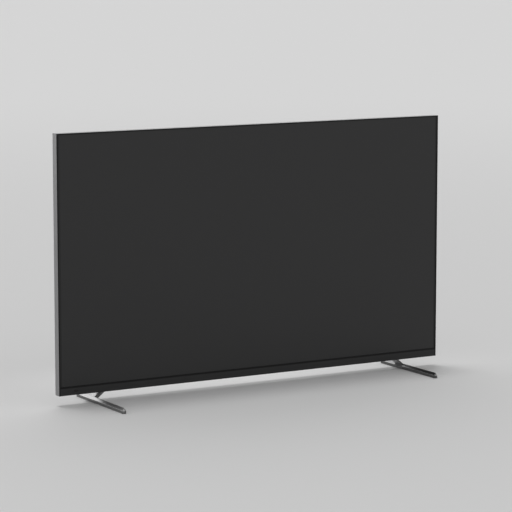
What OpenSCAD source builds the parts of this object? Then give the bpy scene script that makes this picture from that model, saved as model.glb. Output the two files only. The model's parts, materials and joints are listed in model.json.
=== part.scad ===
// Flat screen television on two low metal feet.
// Millimetres. X runs to the viewer's right, Y away from the viewer and Z up.
// The origin lies on the floor, midway between the feet and midway along them.

/* [Picture] */
// Width of the lit picture
screen_w = 1428.5; // [1260:0.5:1700]
// Height of the lit picture
screen_h = 803.5; // [680:0.5:960]
// Black border of the panel beside the picture
side_border = 6.25; // [4:0.25:10]
// Black border of the panel above the picture
top_border = 1; // [0.5:0.5:10]
// Black border of the panel below the picture
bottom_border = 0.5; // [0.5:0.5:10]

/* [Bezel and chin] */
// Visible width of the lip at the sides and the top
lip_w = 4; // [3.5:0.25:8]
// Thickness of the lip in front of the panel
lip_t = 1.2; // [0.8:0.1:2]
// Thickness of the lip's leg inside the frame
leg_t = 0.8; // [0.6:0.1:1.2]
// Depth of the lip's leg
leg_d = 6; // [4:0.5:10]
// Height of the black band between picture and chin
band_h = 6; // [4:0.5:12]
// Height of the chin's face
chin_h = 23; // [20:0.5:40]
// Wall of the chin
chin_wall = 2; // [1.5:0.1:3]
// Depth of the ledge along the chin's upper edge
chin_ledge = 4.5; // [3:0.5:7]
// Bevel along the chin's lower front edge
chin_bevel = 1; // [0.5:0.1:1.4]
// Width of the sensor window
window_w = 16; // [10:1:30]
// Height of the sensor window
window_h = 6; // [4:0.5:9]
// Distance of the sensor window from the set's left side
window_in = 60; // [30:1:200]
// Height of the sensor window above the chin's lower edge
window_rise = 13; // [8:0.5:14]
// Length of the sensor behind the window
sensor_l = 4; // [3:0.1:6]

/* [Frame] */
// Depth of the silver frame
frame_depth = 29; // [27:0.5:45]
// Wall of the silver frame
frame_wall = 1.6; // [1.2:0.1:2.4]
// Bevel along the frame's outer edges
frame_edge = 0.6; // [0.3:0.1:1]
// Width of the ledge that takes the rear covers
ledge_w = 10; // [8:0.5:14]
// Thickness of that ledge and of the rib in front of it
ledge_t = 1.6; // [1.2:0.1:2.4]
// Length of a corner key's legs
key_l = 45; // [30:1:70]

/* [Display stack] */
// Thickness of the liquid crystal panel
panel_t = 1.6; // [1:0.1:3]
// Thickness of the middle frame's front flange
mid_t = 1.2; // [0.8:0.1:2]
// Wall of the middle frame
mid_wall = 1.5; // [1:0.1:1.6]
// Depth of the middle frame
mid_depth = 14; // [10:0.5:15]
// Thickness of the film pack
films_t = 0.6; // [0.4:0.1:1.2]
// Thickness of the diffuser plate
diffuser_t = 1.8; // [1.2:0.1:3]
// Sheet thickness of the chassis pan
chassis_t = 1; // [0.8:0.1:1.5]
// Depth of the chassis pan in front of its floor
pan_depth = 15; // [14:0.5:16.5]
// Width of the chassis pan's rim
rim_w = 5; // [4.5:0.5:12]
// Height of the pressed beads on the chassis
bead_h = 2.4; // [1:0.1:3]
// Width of the pressed beads
bead_w = 34; // [20:1:50]
// Number of upright beads
bead_n = 5; // [2:1:8]

/* [Backlight] */
// Rows of light strips
led_rows = 6; // [3:1:8]
// Lenses in a row
led_cols = 10; // [6:1:12]
// Width of a light strip
led_w = 14; // [10:1:20]
// Thickness of a light strip
led_t = 1; // [0.8:0.1:1.6]
// Thickness of the reflector sheet
sheet_t = 0.4; // [0.3:0.1:0.8]
// Width of the reflector's sloping sides
slope_w = 18; // [10:1:30]
// Radius of a lens
lens_r = 8; // [6:0.5:10]
// Height of a lens
lens_h = 5; // [3:0.5:7]

/* [Rear covers] */
// Thickness of the flat rear covers
cover_t = 2; // [1.5:0.1:3]
// Height of the lower rear housing
housing_h = 440; // [420:1:520]
// Gap at the seam between the rear covers
seam = 0.8; // [0.4:0.1:2]
// Distance of the housing's raised part from the set's side
bump_in = 104.5; // [80:0.5:114.5]
// Depth of the set over its raised part
set_depth = 64; // [60:0.5:90]
// Wall of the raised part
bump_wall = 2.4; // [2:0.1:3.2]
// Corner radius of the raised part
bump_r = 30; // [20:1:60]
// Bevel round the raised part's back
bump_bevel = 14; // [8:0.5:20]
// Height of the raised part's underside above the chin's lower edge
bump_rise = 6; // [4:0.5:10]
// Flat strip between the raised part and the housing's upper edge
bump_top = 30; // [20:1:50]
// Radius of a cover screw's thread
screw_r = 1.5; // [1.2:0.1:2]
// Radius of a cover screw's head
screw_head_r = 3.4; // [2.6:0.1:4]
// Height of a cover screw's head
screw_head_h = 1.8; // [1.2:0.1:2.4]
// Length of a cover screw under its head
screw_l = 5; // [4:0.5:6]

/* [Vents] */
// Length of a vent slot
vent_l = 54; // [30:1:60]
// Width of a vent slot
vent_w = 3.2; // [2:0.1:4]
// Distance from one vent slot to the next along a row
vent_step = 68; // [64:1:80]
// Distance from one row of vents to the next
vent_pitch = 8; // [6:0.5:9]
// Rows of vents
vent_rows = 4; // [2:1:4]
// Vents in a row on each side
vent_cols = 5; // [2:1:5]
// Length of a sound slot under a speaker
sound_l = 16; // [8:1:18]
// Sound slots under a speaker
sound_n = 12; // [6:1:16]
// Distance from one sound slot to the next
sound_step = 7; // [6:0.5:8]

/* [Connector bays] */
// Length of both bays, from the side of the raised part
bay_l = 150; // [120:1:170]
// Height of the connector bay
bay_h = 190; // [180:1:200]
// Height of the mains bay
inlet_bay_h = 90; // [60:1:120]
// Height of both bays' middles above the chin's lower edge
bay_rise = 215; // [205:1:235]

/* [Boards] */
// Thickness of the circuit boards
board_t = 1.6; // [1:0.1:2]
// Height of the standoffs under the boards
standoff_h = 10; // [8:0.5:12]
// Radius of a standoff
standoff_r = 4; // [3:0.1:5]
// Distance of a board screw from the board's edges
board_in = 9; // [7:0.5:12]
// Width of the main board and the power board
board_w = 250; // [220:1:270]
// Height of the main board and the power board
board_h = 200; // [190:1:230]
// Width of the timing board
timing_w = 210; // [150:1:220]
// Height of the timing board
timing_h = 56; // [40:1:80]
// Height of the timing board's middle above the chin's lower edge
timing_rise = 170; // [150:1:190]
// Width and height of a transformer
transformer_s = 35; // [25:1:45]
// Depth of a transformer
transformer_d = 18; // [12:0.5:22]
// Radius of a capacitor
capacitor_r = 11; // [7:0.5:13]
// Length of a capacitor
capacitor_l = 20; // [14:0.5:22]
// Height of the heat plates on the power board
plate_h = 40; // [25:1:50]
// Thickness of the heat plates
plate_t = 3; // [2:0.1:5]
// Depth of the heat plates
plate_d = 16; // [10:0.5:22]
// Width of the wireless module
wireless_w = 44; // [30:1:60]
// Height of the wireless module
wireless_h = 28; // [20:1:40]
// Thickness of the wireless module
wireless_t = 3; // [2:0.1:5]
// Height of a source board
source_h = 12; // [8:0.5:14]
// Length of a source board
source_l = 450; // [300:1:480]
// Distance of each source board from the set's middle
source_x = 22; // [10:1:60]
// Thickness of a source board
source_t = 1.2; // [0.8:0.1:1.6]
// Distance of the source boards behind the front
source_d = 12; // [9:0.5:13]
// Panel flexes on each source board
flex_n = 6; // [3:1:8]
// Width of a panel flex
flex_w = 34; // [20:1:40]
// Thickness of flexes and ribbons
flex_t = 0.3; // [0.2:0.05:0.4]
// Width of a ribbon between source board and timing board
ribbon_w = 40; // [20:1:60]

/* [Wall mount] */
// Distance of the mounting threads across
vesa_w = 300; // [260:5:320]
// Distance of the mounting threads up and down
vesa_h = 300; // [260:5:300]
// Tapping diameter of the mounting threads
vesa_bore = 5; // [4:0.1:6.8]
// Depth of the mounting threads
vesa_depth = 25; // [15:1:30]
// Outer radius of a mounting bush
bush_r = 9; // [7:0.5:11]
// Height of the mounting pattern's middle above the rear housing's middle
vesa_up = 10; // [2:1:17]

/* [Stand] */
// Height of the set's lower edge above the floor
floor_gap = 35; // [32:0.5:60]
// Distance of a foot's middle from the set's side
foot_in = 132.5; // [124.5:0.5:149.5]
// Depth of a foot from tip to tip
foot_depth = 338; // [280:1:400]
// Distance of a foot's front tip before the set's front
foot_reach = 198; // [180:1:240]
// Width of a foot's bar
foot_w = 13; // [12:0.5:16]
// Height of a foot's bar
foot_h = 17.2; // [16:0.1:20]
// Height of the bar's upright sides
side_h = 8.8; // [7:0.1:10]
// Width of the shoulder above an upright side
shoulder_w = 1; // [0.6:0.1:1.4]
// Width of the ridge along the bar's top
ridge_w = 2; // [1.6:0.1:3]
// Lean of the neck from upright, in degrees
neck_lean = 51; // [40:1:54]
// Thickness of the neck across
neck_t = 10; // [8:0.5:11]
// Width of the neck along the foot
neck_w = 44; // [18:0.5:46]
// Width of the tongue inside the set
tongue_w = 30; // [24:0.5:34]
// Thickness of the tongue
tongue_t = 5; // [4:0.1:6]
// Height of the tongue above the set's lower edge
tongue_h = 80; // [70:1:110]
// Thickness of a rubber pad
pad_t = 1.8; // [1.2:0.1:3]
// Height of a pad that stands out under the bar
pad_out = 1; // [0.5:0.1:1.5]
// Length of a pad
pad_l = 46; // [20:1:70]
// Width of a pad
pad_w = 8; // [6:0.5:9]
// Sheet thickness of a stand bracket
bracket_t = 2; // [1.5:0.1:3]
// Width of a stand bracket's side flanges
bracket_flange = 9; // [6:0.5:10]
// Radius of a stand screw's thread
stand_screw_r = 2.4; // [2:0.1:3]
// Radius of a stand screw's head
stand_head_r = 4.4; // [3.6:0.1:5]
// Height of a stand screw's head
stand_head_h = 3; // [2:0.1:4]
// Distance between a foot's two stand screws
stand_screw_gap = 25; // [22:0.5:30]

/* [Speakers] */
// Length of a speaker box
speaker_l = 180; // [140:1:200]
// Height of a speaker box
speaker_h = 56; // [40:1:60]
// Distance of a speaker box's middle from the rear housing's side
speaker_in = 280; // [260:1:290]
// Length of a speaker driver
driver_l = 72; // [50:1:90]
// Radius of a speaker driver's round ends
driver_r = 10; // [8:0.5:10.5]
// Depth of a speaker driver
driver_d = 22; // [16:0.5:28]

/* [Sockets] */
// Wall of the metal socket shells
shell_t = 0.6; // [0.5:0.1:0.8]
// Video socket's opening, long side
video_w = 14; // [13.5:0.1:15]
// Video socket's opening, short side
video_h = 4.6; // [4.5:0.1:5]
// Data socket's opening, long side
data_w = 12.6; // [12:0.1:13.5]
// Data socket's opening, short side
data_h = 5.2; // [5:0.1:6]
// Network socket's opening, long side
lan_w = 11.8; // [11.5:0.1:13]
// Network socket's opening, short side
lan_h = 8.4; // [8:0.1:9.5]
// Wall of the network socket's body
lan_wall = 2.2; // [1.5:0.1:3]
// Radius of the aerial socket
aerial_r = 4.7; // [4:0.1:5.5]
// Side of the optical socket
optical_s = 9.5; // [8:0.1:11]
// Depth of the sockets
socket_l = 14; // [12:0.5:18]
// Distance from one socket to the next
socket_pitch = 22; // [20:0.5:23]
// Distance between the two pins of the mains inlet
inlet_gap = 8.6; // [8.4:0.1:10]
// Radius of each end of the mains inlet's opening
inlet_r = 4.1; // [3.8:0.1:4.4]
// Radius of a mains pin
inlet_pin_r = 1.15; // [0.9:0.05:1.3]
// Wall round the mains inlet's opening
inlet_wall = 3; // [2.5:0.1:4]

/* [Jog key] */
// Distance of the jog key from the rear housing's side
jog_in = 130; // [120:1:150]
// Height of the jog key above the chin's lower edge
jog_rise = 52; // [48:1:58]
// Radius of the dish round the jog key
dish_r = 14; // [12.5:0.5:16]
// Depth of the dish
dish_d = 5; // [4.5:0.1:6]
// Radius of the jog key's cap
cap_r = 7; // [5.5:0.1:7.5]
// Height of the cap
cap_h = 4.4; // [3.6:0.1:5]
// Height of the cap outside the housing
cap_out = 2; // [1.5:0.1:2.5]
// Radius of the jog key's stem
stem_r = 2; // [1.6:0.1:2.2]
// Radius of the hole for the stem
stem_hole_r = 4.5; // [4.3:0.1:5.5]
// Distance of the jog key's pivot inside the housing's back
pivot_in = 14; // [13:0.1:15]
// Radius of the hub at the stem's foot
hub_r = 3; // [2.6:0.1:3.1]
// Inner radius of the gimbal ring
ring_in = 3.7; // [3.5:0.1:4]
// Outer radius of the gimbal ring
ring_out = 6; // [5.6:0.1:6.4]
// Thickness of the gimbal ring
ring_t = 4; // [3:0.1:4.4]
// Radius of the gimbal's pins
pin_r = 1; // [0.8:0.05:1.1]
// Side of the plunger
plunger_s = 20; // [19:0.1:22]
// Thickness of the plunger
plunger_t = 6; // [5:0.1:7]
// Wall of the switch case
case_wall = 2.4; // [1.6:0.1:3]
// Room under the plunger for its travel
press_room = 1.2; // [0.9:0.1:2]
// Length of the key board
key_board_l = 44; // [40:1:50]
// Height of the key board
key_board_h = 28; // [27:1:34]
// Radius of the bosses that carry the key board
boss_r = 3; // [2.5:0.1:3.5]

/* [Clearances] */
// Gap between neighbouring fixed pieces
fit = 0.2; // [0.1:0.05:0.3]
// Running gap round pins
run = 0.1; // [0.05:0.01:0.15]
// Gap round sliding pieces
slide = 0.3; // [0.2:0.05:0.4]
// Play of the foot's tongue in its slot, on each side
slot_play = 2; // [1:0.1:3]
// Gap at the frame's mitred corners
mitre_gap = 0.15; // [0.05:0.05:0.3]
// Room for the panel flexes under the panel
flex_room = 1; // [0.8:0.1:1.5]

/* [Hidden] */
$fn = 48;
past = 1;                // how far a cut runs past a face
root2 = sqrt(2);

// Outline of the set
cab_w = screen_w + 2 * (side_border + lip_w);
cab_h = chin_h + band_h + bottom_border + screen_h + top_border + lip_w;
half_w = cab_w / 2;
z_bottom = floor_gap;
z_top = z_bottom + cab_h;
z_chin = z_bottom + chin_h;
z_glass = z_chin + band_h;
z_picture = z_glass + bottom_border;
y_front = foot_reach - foot_depth / 2;
y_back = y_front + frame_depth;
y_rear = y_front + set_depth;

// Layers of the display, front to back
edge_in = frame_wall + leg_t + 2 * fit;
panel_x = half_w - edge_in;
panel_z0 = z_chin + leg_t + flex_room;
panel_z1 = z_top - edge_in;
y_panel = y_front + lip_t;
y_mid = y_panel + panel_t;
y_films = y_mid + mid_t;
y_diffuser = y_films + films_t;
y_rim = y_diffuser + diffuser_t;
y_floor = y_rim + pan_depth;
y_chassis = y_floor + chassis_t;
stack_x = panel_x - mid_wall - fit;
stack_z0 = panel_z0 + mid_wall + fit;
stack_z1 = panel_z1 - mid_wall - fit;
pan_x = stack_x - rim_w + chassis_t;
pan_z0 = stack_z0 + rim_w - chassis_t;
pan_z1 = stack_z1 - rim_w + chassis_t;

// Backlight inside the pan
y_strip = y_floor - led_t;
y_sheet = y_strip - sheet_t;
sheet_x = pan_x - chassis_t - slope_w;
sheet_z0 = pan_z0 + chassis_t + slope_w;
sheet_z1 = pan_z1 - chassis_t - slope_w;
led_pitch_x = 2 * sheet_x / led_cols;
led_pitch_z = (sheet_z1 - sheet_z0) / led_rows;
chip_s = 4;
chip_hole_r = 4;
lens_top_r = 0.7 * lens_r;
dimple_r = 0.5 * lens_r;
dimple_d = lens_h / 2;

// Frame profile, as inset from the outer face and depth behind the front
rib_in = half_w - pan_x - fit;
rib_d0 = y_mid - y_front + mid_depth + fit;
rib_d1 = rib_d0 + ledge_t;
ledge_d1 = frame_depth - cover_t;
ledge_d0 = ledge_d1 - ledge_t;
frame_profile = [
    [frame_edge, lip_t], [0, lip_t + frame_edge], [0, frame_depth - frame_edge], [frame_edge, frame_depth],
    [frame_wall, frame_depth], [frame_wall, ledge_d1], [frame_wall + ledge_w, ledge_d1],
    [frame_wall + ledge_w, ledge_d0], [frame_wall, ledge_d0], [frame_wall, rib_d1],
    [rib_in, rib_d1], [rib_in, rib_d0], [frame_wall, rib_d0], [frame_wall, lip_t]
];
lip_edge = lip_t / 3;
leg_in = frame_wall + fit;
bezel_profile = [
    [lip_edge, 0], [0, lip_edge], [0, lip_t], [leg_in, lip_t], [leg_in, lip_t + leg_d],
    [leg_in + leg_t, lip_t + leg_d], [leg_in + leg_t, lip_t], [lip_w, lip_t], [lip_w, 0]
];
mitre_reach = 2 * (frame_wall + ledge_w) + rib_in;

// Rear covers
cover_x = half_w - frame_wall - fit;
cover_z0 = z_bottom + chin_wall + fit;
cover_z1 = z_top - frame_wall - fit;
z_split = z_bottom + housing_h;
bump_z0 = z_bottom + bump_rise;
bump_z1 = z_split - bump_top;
bump_x = half_w - bump_in;
floor_z = bump_z0 + bump_wall;
bay_z = z_bottom + bay_rise;
bay_x = bump_x - bay_l;
screw_x = half_w - frame_wall - ledge_w / 2;
screw_z = z_top - frame_wall - ledge_w / 2;
upper_h = cover_z1 - z_split;
side_screws = [
    z_bottom + housing_h / 8, z_bottom + housing_h / 2, z_split - housing_h / 8,
    z_split + upper_h / 8, z_split + upper_h / 2, z_top - upper_h / 8
];
top_screws = [-3, -1, 1, 3];
top_screw_step = cab_w / 10;

// Boards behind the chassis
y_board0 = y_chassis + standoff_h;
y_board1 = y_board0 + board_t;
board_x1 = bay_x - bump_wall - fit;
board_x0 = board_x1 - board_w;
board_z0 = bay_z - board_h / 2;
board_z1 = bay_z + board_h / 2;
timing_z = z_bottom + timing_rise;
timing_z0 = timing_z - timing_h / 2;
timing_z1 = timing_z + timing_h / 2;
screw_bore = screw_r + run;
standoff_bore_l = standoff_h - 2;
board_screw_l = standoff_bore_l - 1;
chip_t = 2.4;
chip_w = 32;
cpu_x = board_x0 + board_w / 2;
cpu_z = bay_z + board_h / 8;
sink_s = 64;
sink_base = 3;
sink_fin_h = 9;
sink_fin_t = 2;
sink_fins = 8;

// Cables that lie on the chassis
cable_t = 1.2;
cable_w = 12;
y_cable = y_chassis + fit;
y_lead = y_cable + flex_t + fit;
lead_w = 4;
lead_gap = 4;            // room between the leads and a mounting bush
cable_tuck = 36;         // how far a cable runs behind a board
plug_l = 12;
plug_t = 4.8;
lead_tuck = 12;
source_z0 = z_bottom + chin_wall;
flex_pitch = source_l / flex_n;
ribbon_x = source_x + ribbon_w / 2 + 2 * lead_w;
ribbon_z = source_z0 + source_h / 2;

// Sockets in one row along the connector bay, counted from the top down
socket_y = y_board1;
socket_n = 8;
function socket_z(i) = bay_z + ((socket_n - 1) / 2 - i) * socket_pitch;
aerial_z = socket_z(0);
optical_z = socket_z(1);
lan_z = socket_z(2);
video_z = [for (i = [3:5]) socket_z(i)];
data_z = [for (i = [6:7]) socket_z(i)];
socket_floor = 2;
aerial_base = 2 * aerial_r + 3;
inlet_w = inlet_gap + 2 * (inlet_r + inlet_wall);
inlet_h = 2 * (inlet_r + inlet_wall);
inlet_l = 22;
inlet_depth = 15;
inlet_waist = 0.8 * inlet_r;
inlet_y = y_board1 + inlet_h / 2;

// Wall mount
vesa_z = (bump_z0 + bump_z1) / 2 + vesa_up;
bush_flange_t = 2;
bush_flange_r = bush_r + 4;

// Stand
foot_x = half_w - foot_in;
bar_z0 = pad_out;
bar_z1 = bar_z0 + foot_h;
bar_end = (foot_depth - foot_w) / 2;
shoulder_z = bar_z0 + side_h;
neck_shift = tan(neck_lean);
neck_in = foot_x - neck_t;
neck_sunk = 0.7 * neck_t;    // how far the neck's inner face runs across inside the bar
neck_root = bar_z1 - neck_sunk / neck_shift;
tongue_x = neck_in + neck_t / 2 - (z_bottom - bar_z1) * neck_shift;
neck_z1 = z_bottom + 2 * chin_wall;
neck_y0 = y_front + chin_wall + fit + slot_play;
neck_y1 = neck_y0 + neck_w;
tongue_y0 = y_chassis + slot_play / 2;
tongue_y1 = tongue_y0 + tongue_t;
tongue_z1 = z_bottom + tongue_h;
neck_top_x = neck_in - (neck_z1 - bar_z1) * neck_shift;
slot_x0 = min(tongue_x - tongue_w / 2, neck_top_x) - slot_play;
slot_x1 = tongue_x + tongue_w / 2 + slot_play;
bracket_y0 = tongue_y1 + fit;
bracket_y1 = bracket_y0 + bracket_t;
bracket_z0 = floor_z + 2 * slot_play;
bracket_z1 = tongue_z1 + slot_play;
bracket_x0 = tongue_x - tongue_w / 2 - slot_play;
bracket_x1 = tongue_x + tongue_w / 2 + slot_play;
stand_screw_z = bracket_z0 + (tongue_z1 - bracket_z0 - stand_screw_gap) / 2;
stand_screw_l = bracket_t + fit + tongue_t;
well_r = stand_head_r + 2;
well_wall = 1.8;

// Speakers
speaker_x = bump_x - speaker_in;
bevel_in = bump_bevel - bump_wall * (2 - root2);
speaker_y0 = y_chassis + 2;
speaker_y1 = y_rear - bump_wall - fit;
speaker_edge = speaker_y1 - bevel_in;
speaker_y = (speaker_y0 + speaker_edge) / 2;
speaker_z0 = floor_z + fit;
speaker_z1 = speaker_z0 + speaker_h;
driver_flange = 2;
magnet_r = 0.8 * driver_r;

// Jog key, on the left as seen from the front
jog_x = bump_x - jog_in;
jog_z = z_bottom + jog_rise;
y_pivot = y_rear - pivot_in;
cap_y1 = y_rear + cap_out;
cap_y0 = cap_y1 - cap_h;
cap_roof = 1.4;
stem_y1 = cap_y1 - cap_roof;
plunger_y0 = y_pivot - plunger_t / 2;
plunger_y1 = y_pivot + plunger_t / 2;
ring_room = sqrt(pow(ring_out, 2) + pow(ring_t / 2, 2)) + slide;
case_s = plunger_s + 2 * (slide + case_wall);
case_floor = 1.5;
case_y0 = plunger_y0 - press_room - case_floor;
case_y1 = plunger_y1 + slide + case_floor;
key_board_y0 = case_y0 - board_t;

// Shapes that repeat

module block(x0, x1, y0, y1, z0, z1) {
    translate([x0, y0, z0]) cube([x1 - x0, y1 - y0, z1 - z0]);
}

// Extrudes a profile drawn in Y and Z
module along_x(x0, x1) {
    translate([x0, 0, 0]) rotate([90, 0, 90]) linear_extrude(x1 - x0) children();
}

// Extrudes a profile drawn in X and Z
module along_y(y0, y1) {
    translate([0, y1, 0]) rotate([90, 0, 0]) linear_extrude(y1 - y0) children();
}

// Extrudes a profile drawn in X and Y
module along_z(z0, z1) {
    translate([0, 0, z0]) linear_extrude(z1 - z0) children();
}

module rod_x(x0, x1, y, z, r) {
    translate([x0, y, z]) rotate([0, 90, 0]) cylinder(r = r, h = x1 - x0);
}

module rod_y(y0, y1, x, z, r) {
    translate([x, y0, z]) rotate([-90, 0, 0]) cylinder(r = r, h = y1 - y0);
}

module both_sides() {
    children();
    mirror([1, 0, 0]) children();
}

module round_rect(x0, x1, z0, z1, r) {
    translate([x0 + r, z0]) square([x1 - x0 - 2 * r, z1 - z0]);
    translate([x0, z0 + r]) square([x1 - x0, z1 - z0 - 2 * r]);
    for (x = [x0 + r, x1 - r], z = [z0 + r, z1 - r]) translate([x, z]) circle(r);
}

// A slot with round ends, lying along the first axis
module slot_shape(x, z, l, w) {
    reach = (l - w) / 2;
    translate([x - reach, z - w / 2]) square([2 * reach, w]);
    for (i = [-reach, reach]) translate([x + i, z]) circle(w / 2);
}

// Bezel and frame strips

function side_point(p) = [p[0] - half_w, y_front + p[1]];
function top_point(p) = [y_front + p[1], z_top - p[0]];

module left_strip(profile) {
    intersection() {
        along_z(z_bottom, z_top) polygon([for (p = profile) side_point(p)]);
        along_y(y_front - past, y_back + past) polygon([
            [-half_w - past, z_bottom - past], [-half_w - past, z_top + past - mitre_gap],
            [mitre_reach - half_w, z_top - mitre_reach - mitre_gap], [mitre_reach - half_w, z_bottom - past]
        ]);
    }
}

module top_strip(profile) {
    intersection() {
        along_x(-half_w, half_w) polygon([for (p = profile) top_point(p)]);
        along_y(y_front - past, y_back + past) polygon([
            [-half_w, z_top], [half_w, z_top],
            [half_w - mitre_reach, z_top - mitre_reach], [mitre_reach - half_w, z_top - mitre_reach]
        ]);
    }
}

module cover_screw_holes(r, y0, y1) {
    both_sides() for (z = side_screws) rod_y(y0, y1, screw_x, z, r);
    for (i = top_screws) rod_y(y0, y1, i * top_screw_step, screw_z, r);
}

module drilled() {
    difference() {
        children();
        cover_screw_holes(screw_bore, y_front + ledge_d0 - past, y_back + past);
    }
}

module bezel_left() { color("black") left_strip(bezel_profile); }
module bezel_right() { color("black") mirror([1, 0, 0]) left_strip(bezel_profile); }
module bezel_top() { color("black") top_strip(bezel_profile); }

// A side of the frame, cut back inside to clear the chin's underside
module side_frame() {
    difference() {
        left_strip(frame_profile);
        block(frame_wall - half_w, mitre_reach - half_w, y_front, y_back + past, z_bottom - past, cover_z0);
    }
}

module frame_left() { color("silver") drilled() side_frame(); }
module frame_right() { color("silver") drilled() mirror([1, 0, 0]) side_frame(); }
module frame_top() { color("silver") drilled() top_strip(frame_profile); }

// The band closes the gap between the panel and the chin, with a leg that rests on the chin's ledge.
module bezel_band() {
    color("black") along_x(lip_w - half_w, half_w - lip_w) polygon([
        [y_front, z_chin], [y_front, z_glass], [y_panel, z_glass], [y_panel, z_chin + leg_t],
        [y_front + chin_ledge, z_chin + leg_t], [y_front + chin_ledge, z_chin]
    ]);
}

// Chin: face, underside and a ledge along the upper edge, with slots for the feet's necks.
module chin_bar() {
    color("#2b2c2e") difference() {
        along_x(-cover_x, cover_x) polygon([
            [y_front + chin_bevel, z_bottom], [y_front, z_bottom + chin_bevel], [y_front, z_chin],
            [y_front + chin_ledge, z_chin], [y_front + chin_ledge, z_chin - chin_wall],
            [y_front + chin_wall, z_chin - chin_wall], [y_front + chin_wall, z_bottom + chin_wall],
            [y_back, z_bottom + chin_wall], [y_back, z_bottom]
        ]);
        both_sides() {
            block(half_w - lip_w, half_w, y_front - past, y_panel + leg_d + fit, z_bottom - past, z_chin + past);
            block(slot_x0, slot_x1, neck_y0 - slot_play, y_back + past, z_bottom - past, z_chin - chin_wall);
        }
        sensor_opening(0, y_front - past, y_front + chin_wall + past);
    }
}

module sensor_opening(inset, y0, y1) {
    x = window_in - half_w;
    z = z_bottom + window_rise;
    along_y(y0, y1) round_rect(x - window_w / 2 + inset, x + window_w / 2 - inset,
        z - window_h / 2 + inset, z + window_h / 2 - inset, window_h / 4);
}

module sensor_window() {
    color("#201418") sensor_opening(fit, y_front + fit, y_front + chin_wall);
}

// The sensor board stands on the chin's underside, behind the window.
module sensor_board() {
    x = window_in - half_w;
    y0 = y_front + chin_wall + sensor_l;
    color("darkgreen") {
        block(x - window_w, x + window_w, y0, y0 + source_t, source_z0, z_chin - chin_wall - fit);
        rod_y(y_front + chin_wall + fit, y0, x, z_bottom + window_rise, window_h / 2 - fit);
    }
}

// Corner keys fill the channel between the frame's rib and its ledge.
module corner_keys() {
    y0 = y_front + rib_d1 + fit;
    y1 = y_front + ledge_d0 - fit;
    x1 = half_w - frame_wall - fit;
    key_w = rib_in - frame_wall - 2 * fit;
    color("dimgray") both_sides() {
        for (z = [[z_top - frame_wall - fit, -1], [z_bottom + chin_wall + fit, 1]]) along_y(y0, y1)
            polygon([
                [x1, z[0]], [x1 - key_l, z[0]], [x1 - key_l, z[0] + z[1] * key_w],
                [x1 - key_w, z[0] + z[1] * key_w], [x1 - key_w, z[0] + z[1] * key_l], [x1, z[0] + z[1] * key_l]
            ]);
    }
}

// Display stack

module lcd_panel() {
    color("#1b1c1f") block(-panel_x, panel_x, y_panel, y_mid, panel_z0, panel_z1);
}

// Each flex leaves the panel's lower edge, runs back and drops to a source board.
module panel_flexes() {
    z = panel_z0 - flex_room / 2;
    y = y_front + source_d;
    color("#8a5a22") both_sides() for (i = [0:flex_n - 1]) {
        x = source_x + (i + 0.5) * flex_pitch;
        along_x(x - flex_w / 2, x + flex_w / 2) polygon([
            [y_panel + fit, panel_z0], [y_mid - fit, panel_z0], [y_mid - fit, z + flex_t / 2],
            [y, z + flex_t / 2], [y, source_z0 + source_h / 2], [y - flex_t, source_z0 + source_h / 2],
            [y - flex_t, z - flex_t / 2], [y_panel + fit, z - flex_t / 2]
        ]);
    }
}

module source_boards() {
    y = y_front + source_d;
    color("darkgreen") both_sides()
        block(source_x, source_x + source_l, y, y + source_t, source_z0, source_z0 + source_h);
}

// Each ribbon runs back from a source board and climbs the chassis to the timing board.
module panel_ribbons() {
    y0 = y_front + source_d + source_t;
    color("whitesmoke") both_sides() along_x(ribbon_x - ribbon_w / 2, ribbon_x + ribbon_w / 2) polygon([
        [y0, ribbon_z], [y_cable + flex_t, ribbon_z], [y_cable + flex_t, timing_z0 + board_in],
        [y_cable, timing_z0 + board_in], [y_cable, ribbon_z + flex_t], [y0, ribbon_z + flex_t]
    ]);
}

module film_pack() {
    color("ghostwhite") block(-stack_x, stack_x, y_films, y_diffuser, stack_z0, stack_z1);
}

module diffuser_plate() {
    color("white") block(-stack_x, stack_x, y_diffuser, y_rim, stack_z0, stack_z1);
}

// The middle frame's flange carries the panel and its wall runs back round the stack.
module middle_frame() {
    show = bottom_border;
    window_x = screen_w / 2 + show;
    color("#303234") difference() {
        block(-panel_x, panel_x, y_mid, y_mid + mid_depth, panel_z0, panel_z1);
        block(-window_x, window_x, y_mid - past, y_films + past, z_picture - show, z_picture + screen_h + show);
        block(mid_wall - panel_x, panel_x - mid_wall, y_films, y_mid + mid_depth + past,
            panel_z0 + mid_wall, panel_z1 - mid_wall);
    }
}

// Backlight

module at_each_light() {
    for (i = [0:led_cols - 1], j = [0:led_rows - 1])
        translate([(i + 0.5) * led_pitch_x - sheet_x, 0, sheet_z0 + (j + 0.5) * led_pitch_z]) children();
}

// A lens is a low truncated cone with a dimple over the light.
module led_lenses() {
    color("azure") at_each_light() translate([0, y_sheet, 0]) rotate([90, 0, 0]) difference() {
        cylinder(r1 = lens_r, r2 = lens_top_r, h = lens_h);
        translate([0, 0, lens_h - dimple_d]) cylinder(r1 = 0, r2 = 2 * dimple_r, h = 2 * dimple_d);
    }
}

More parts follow.
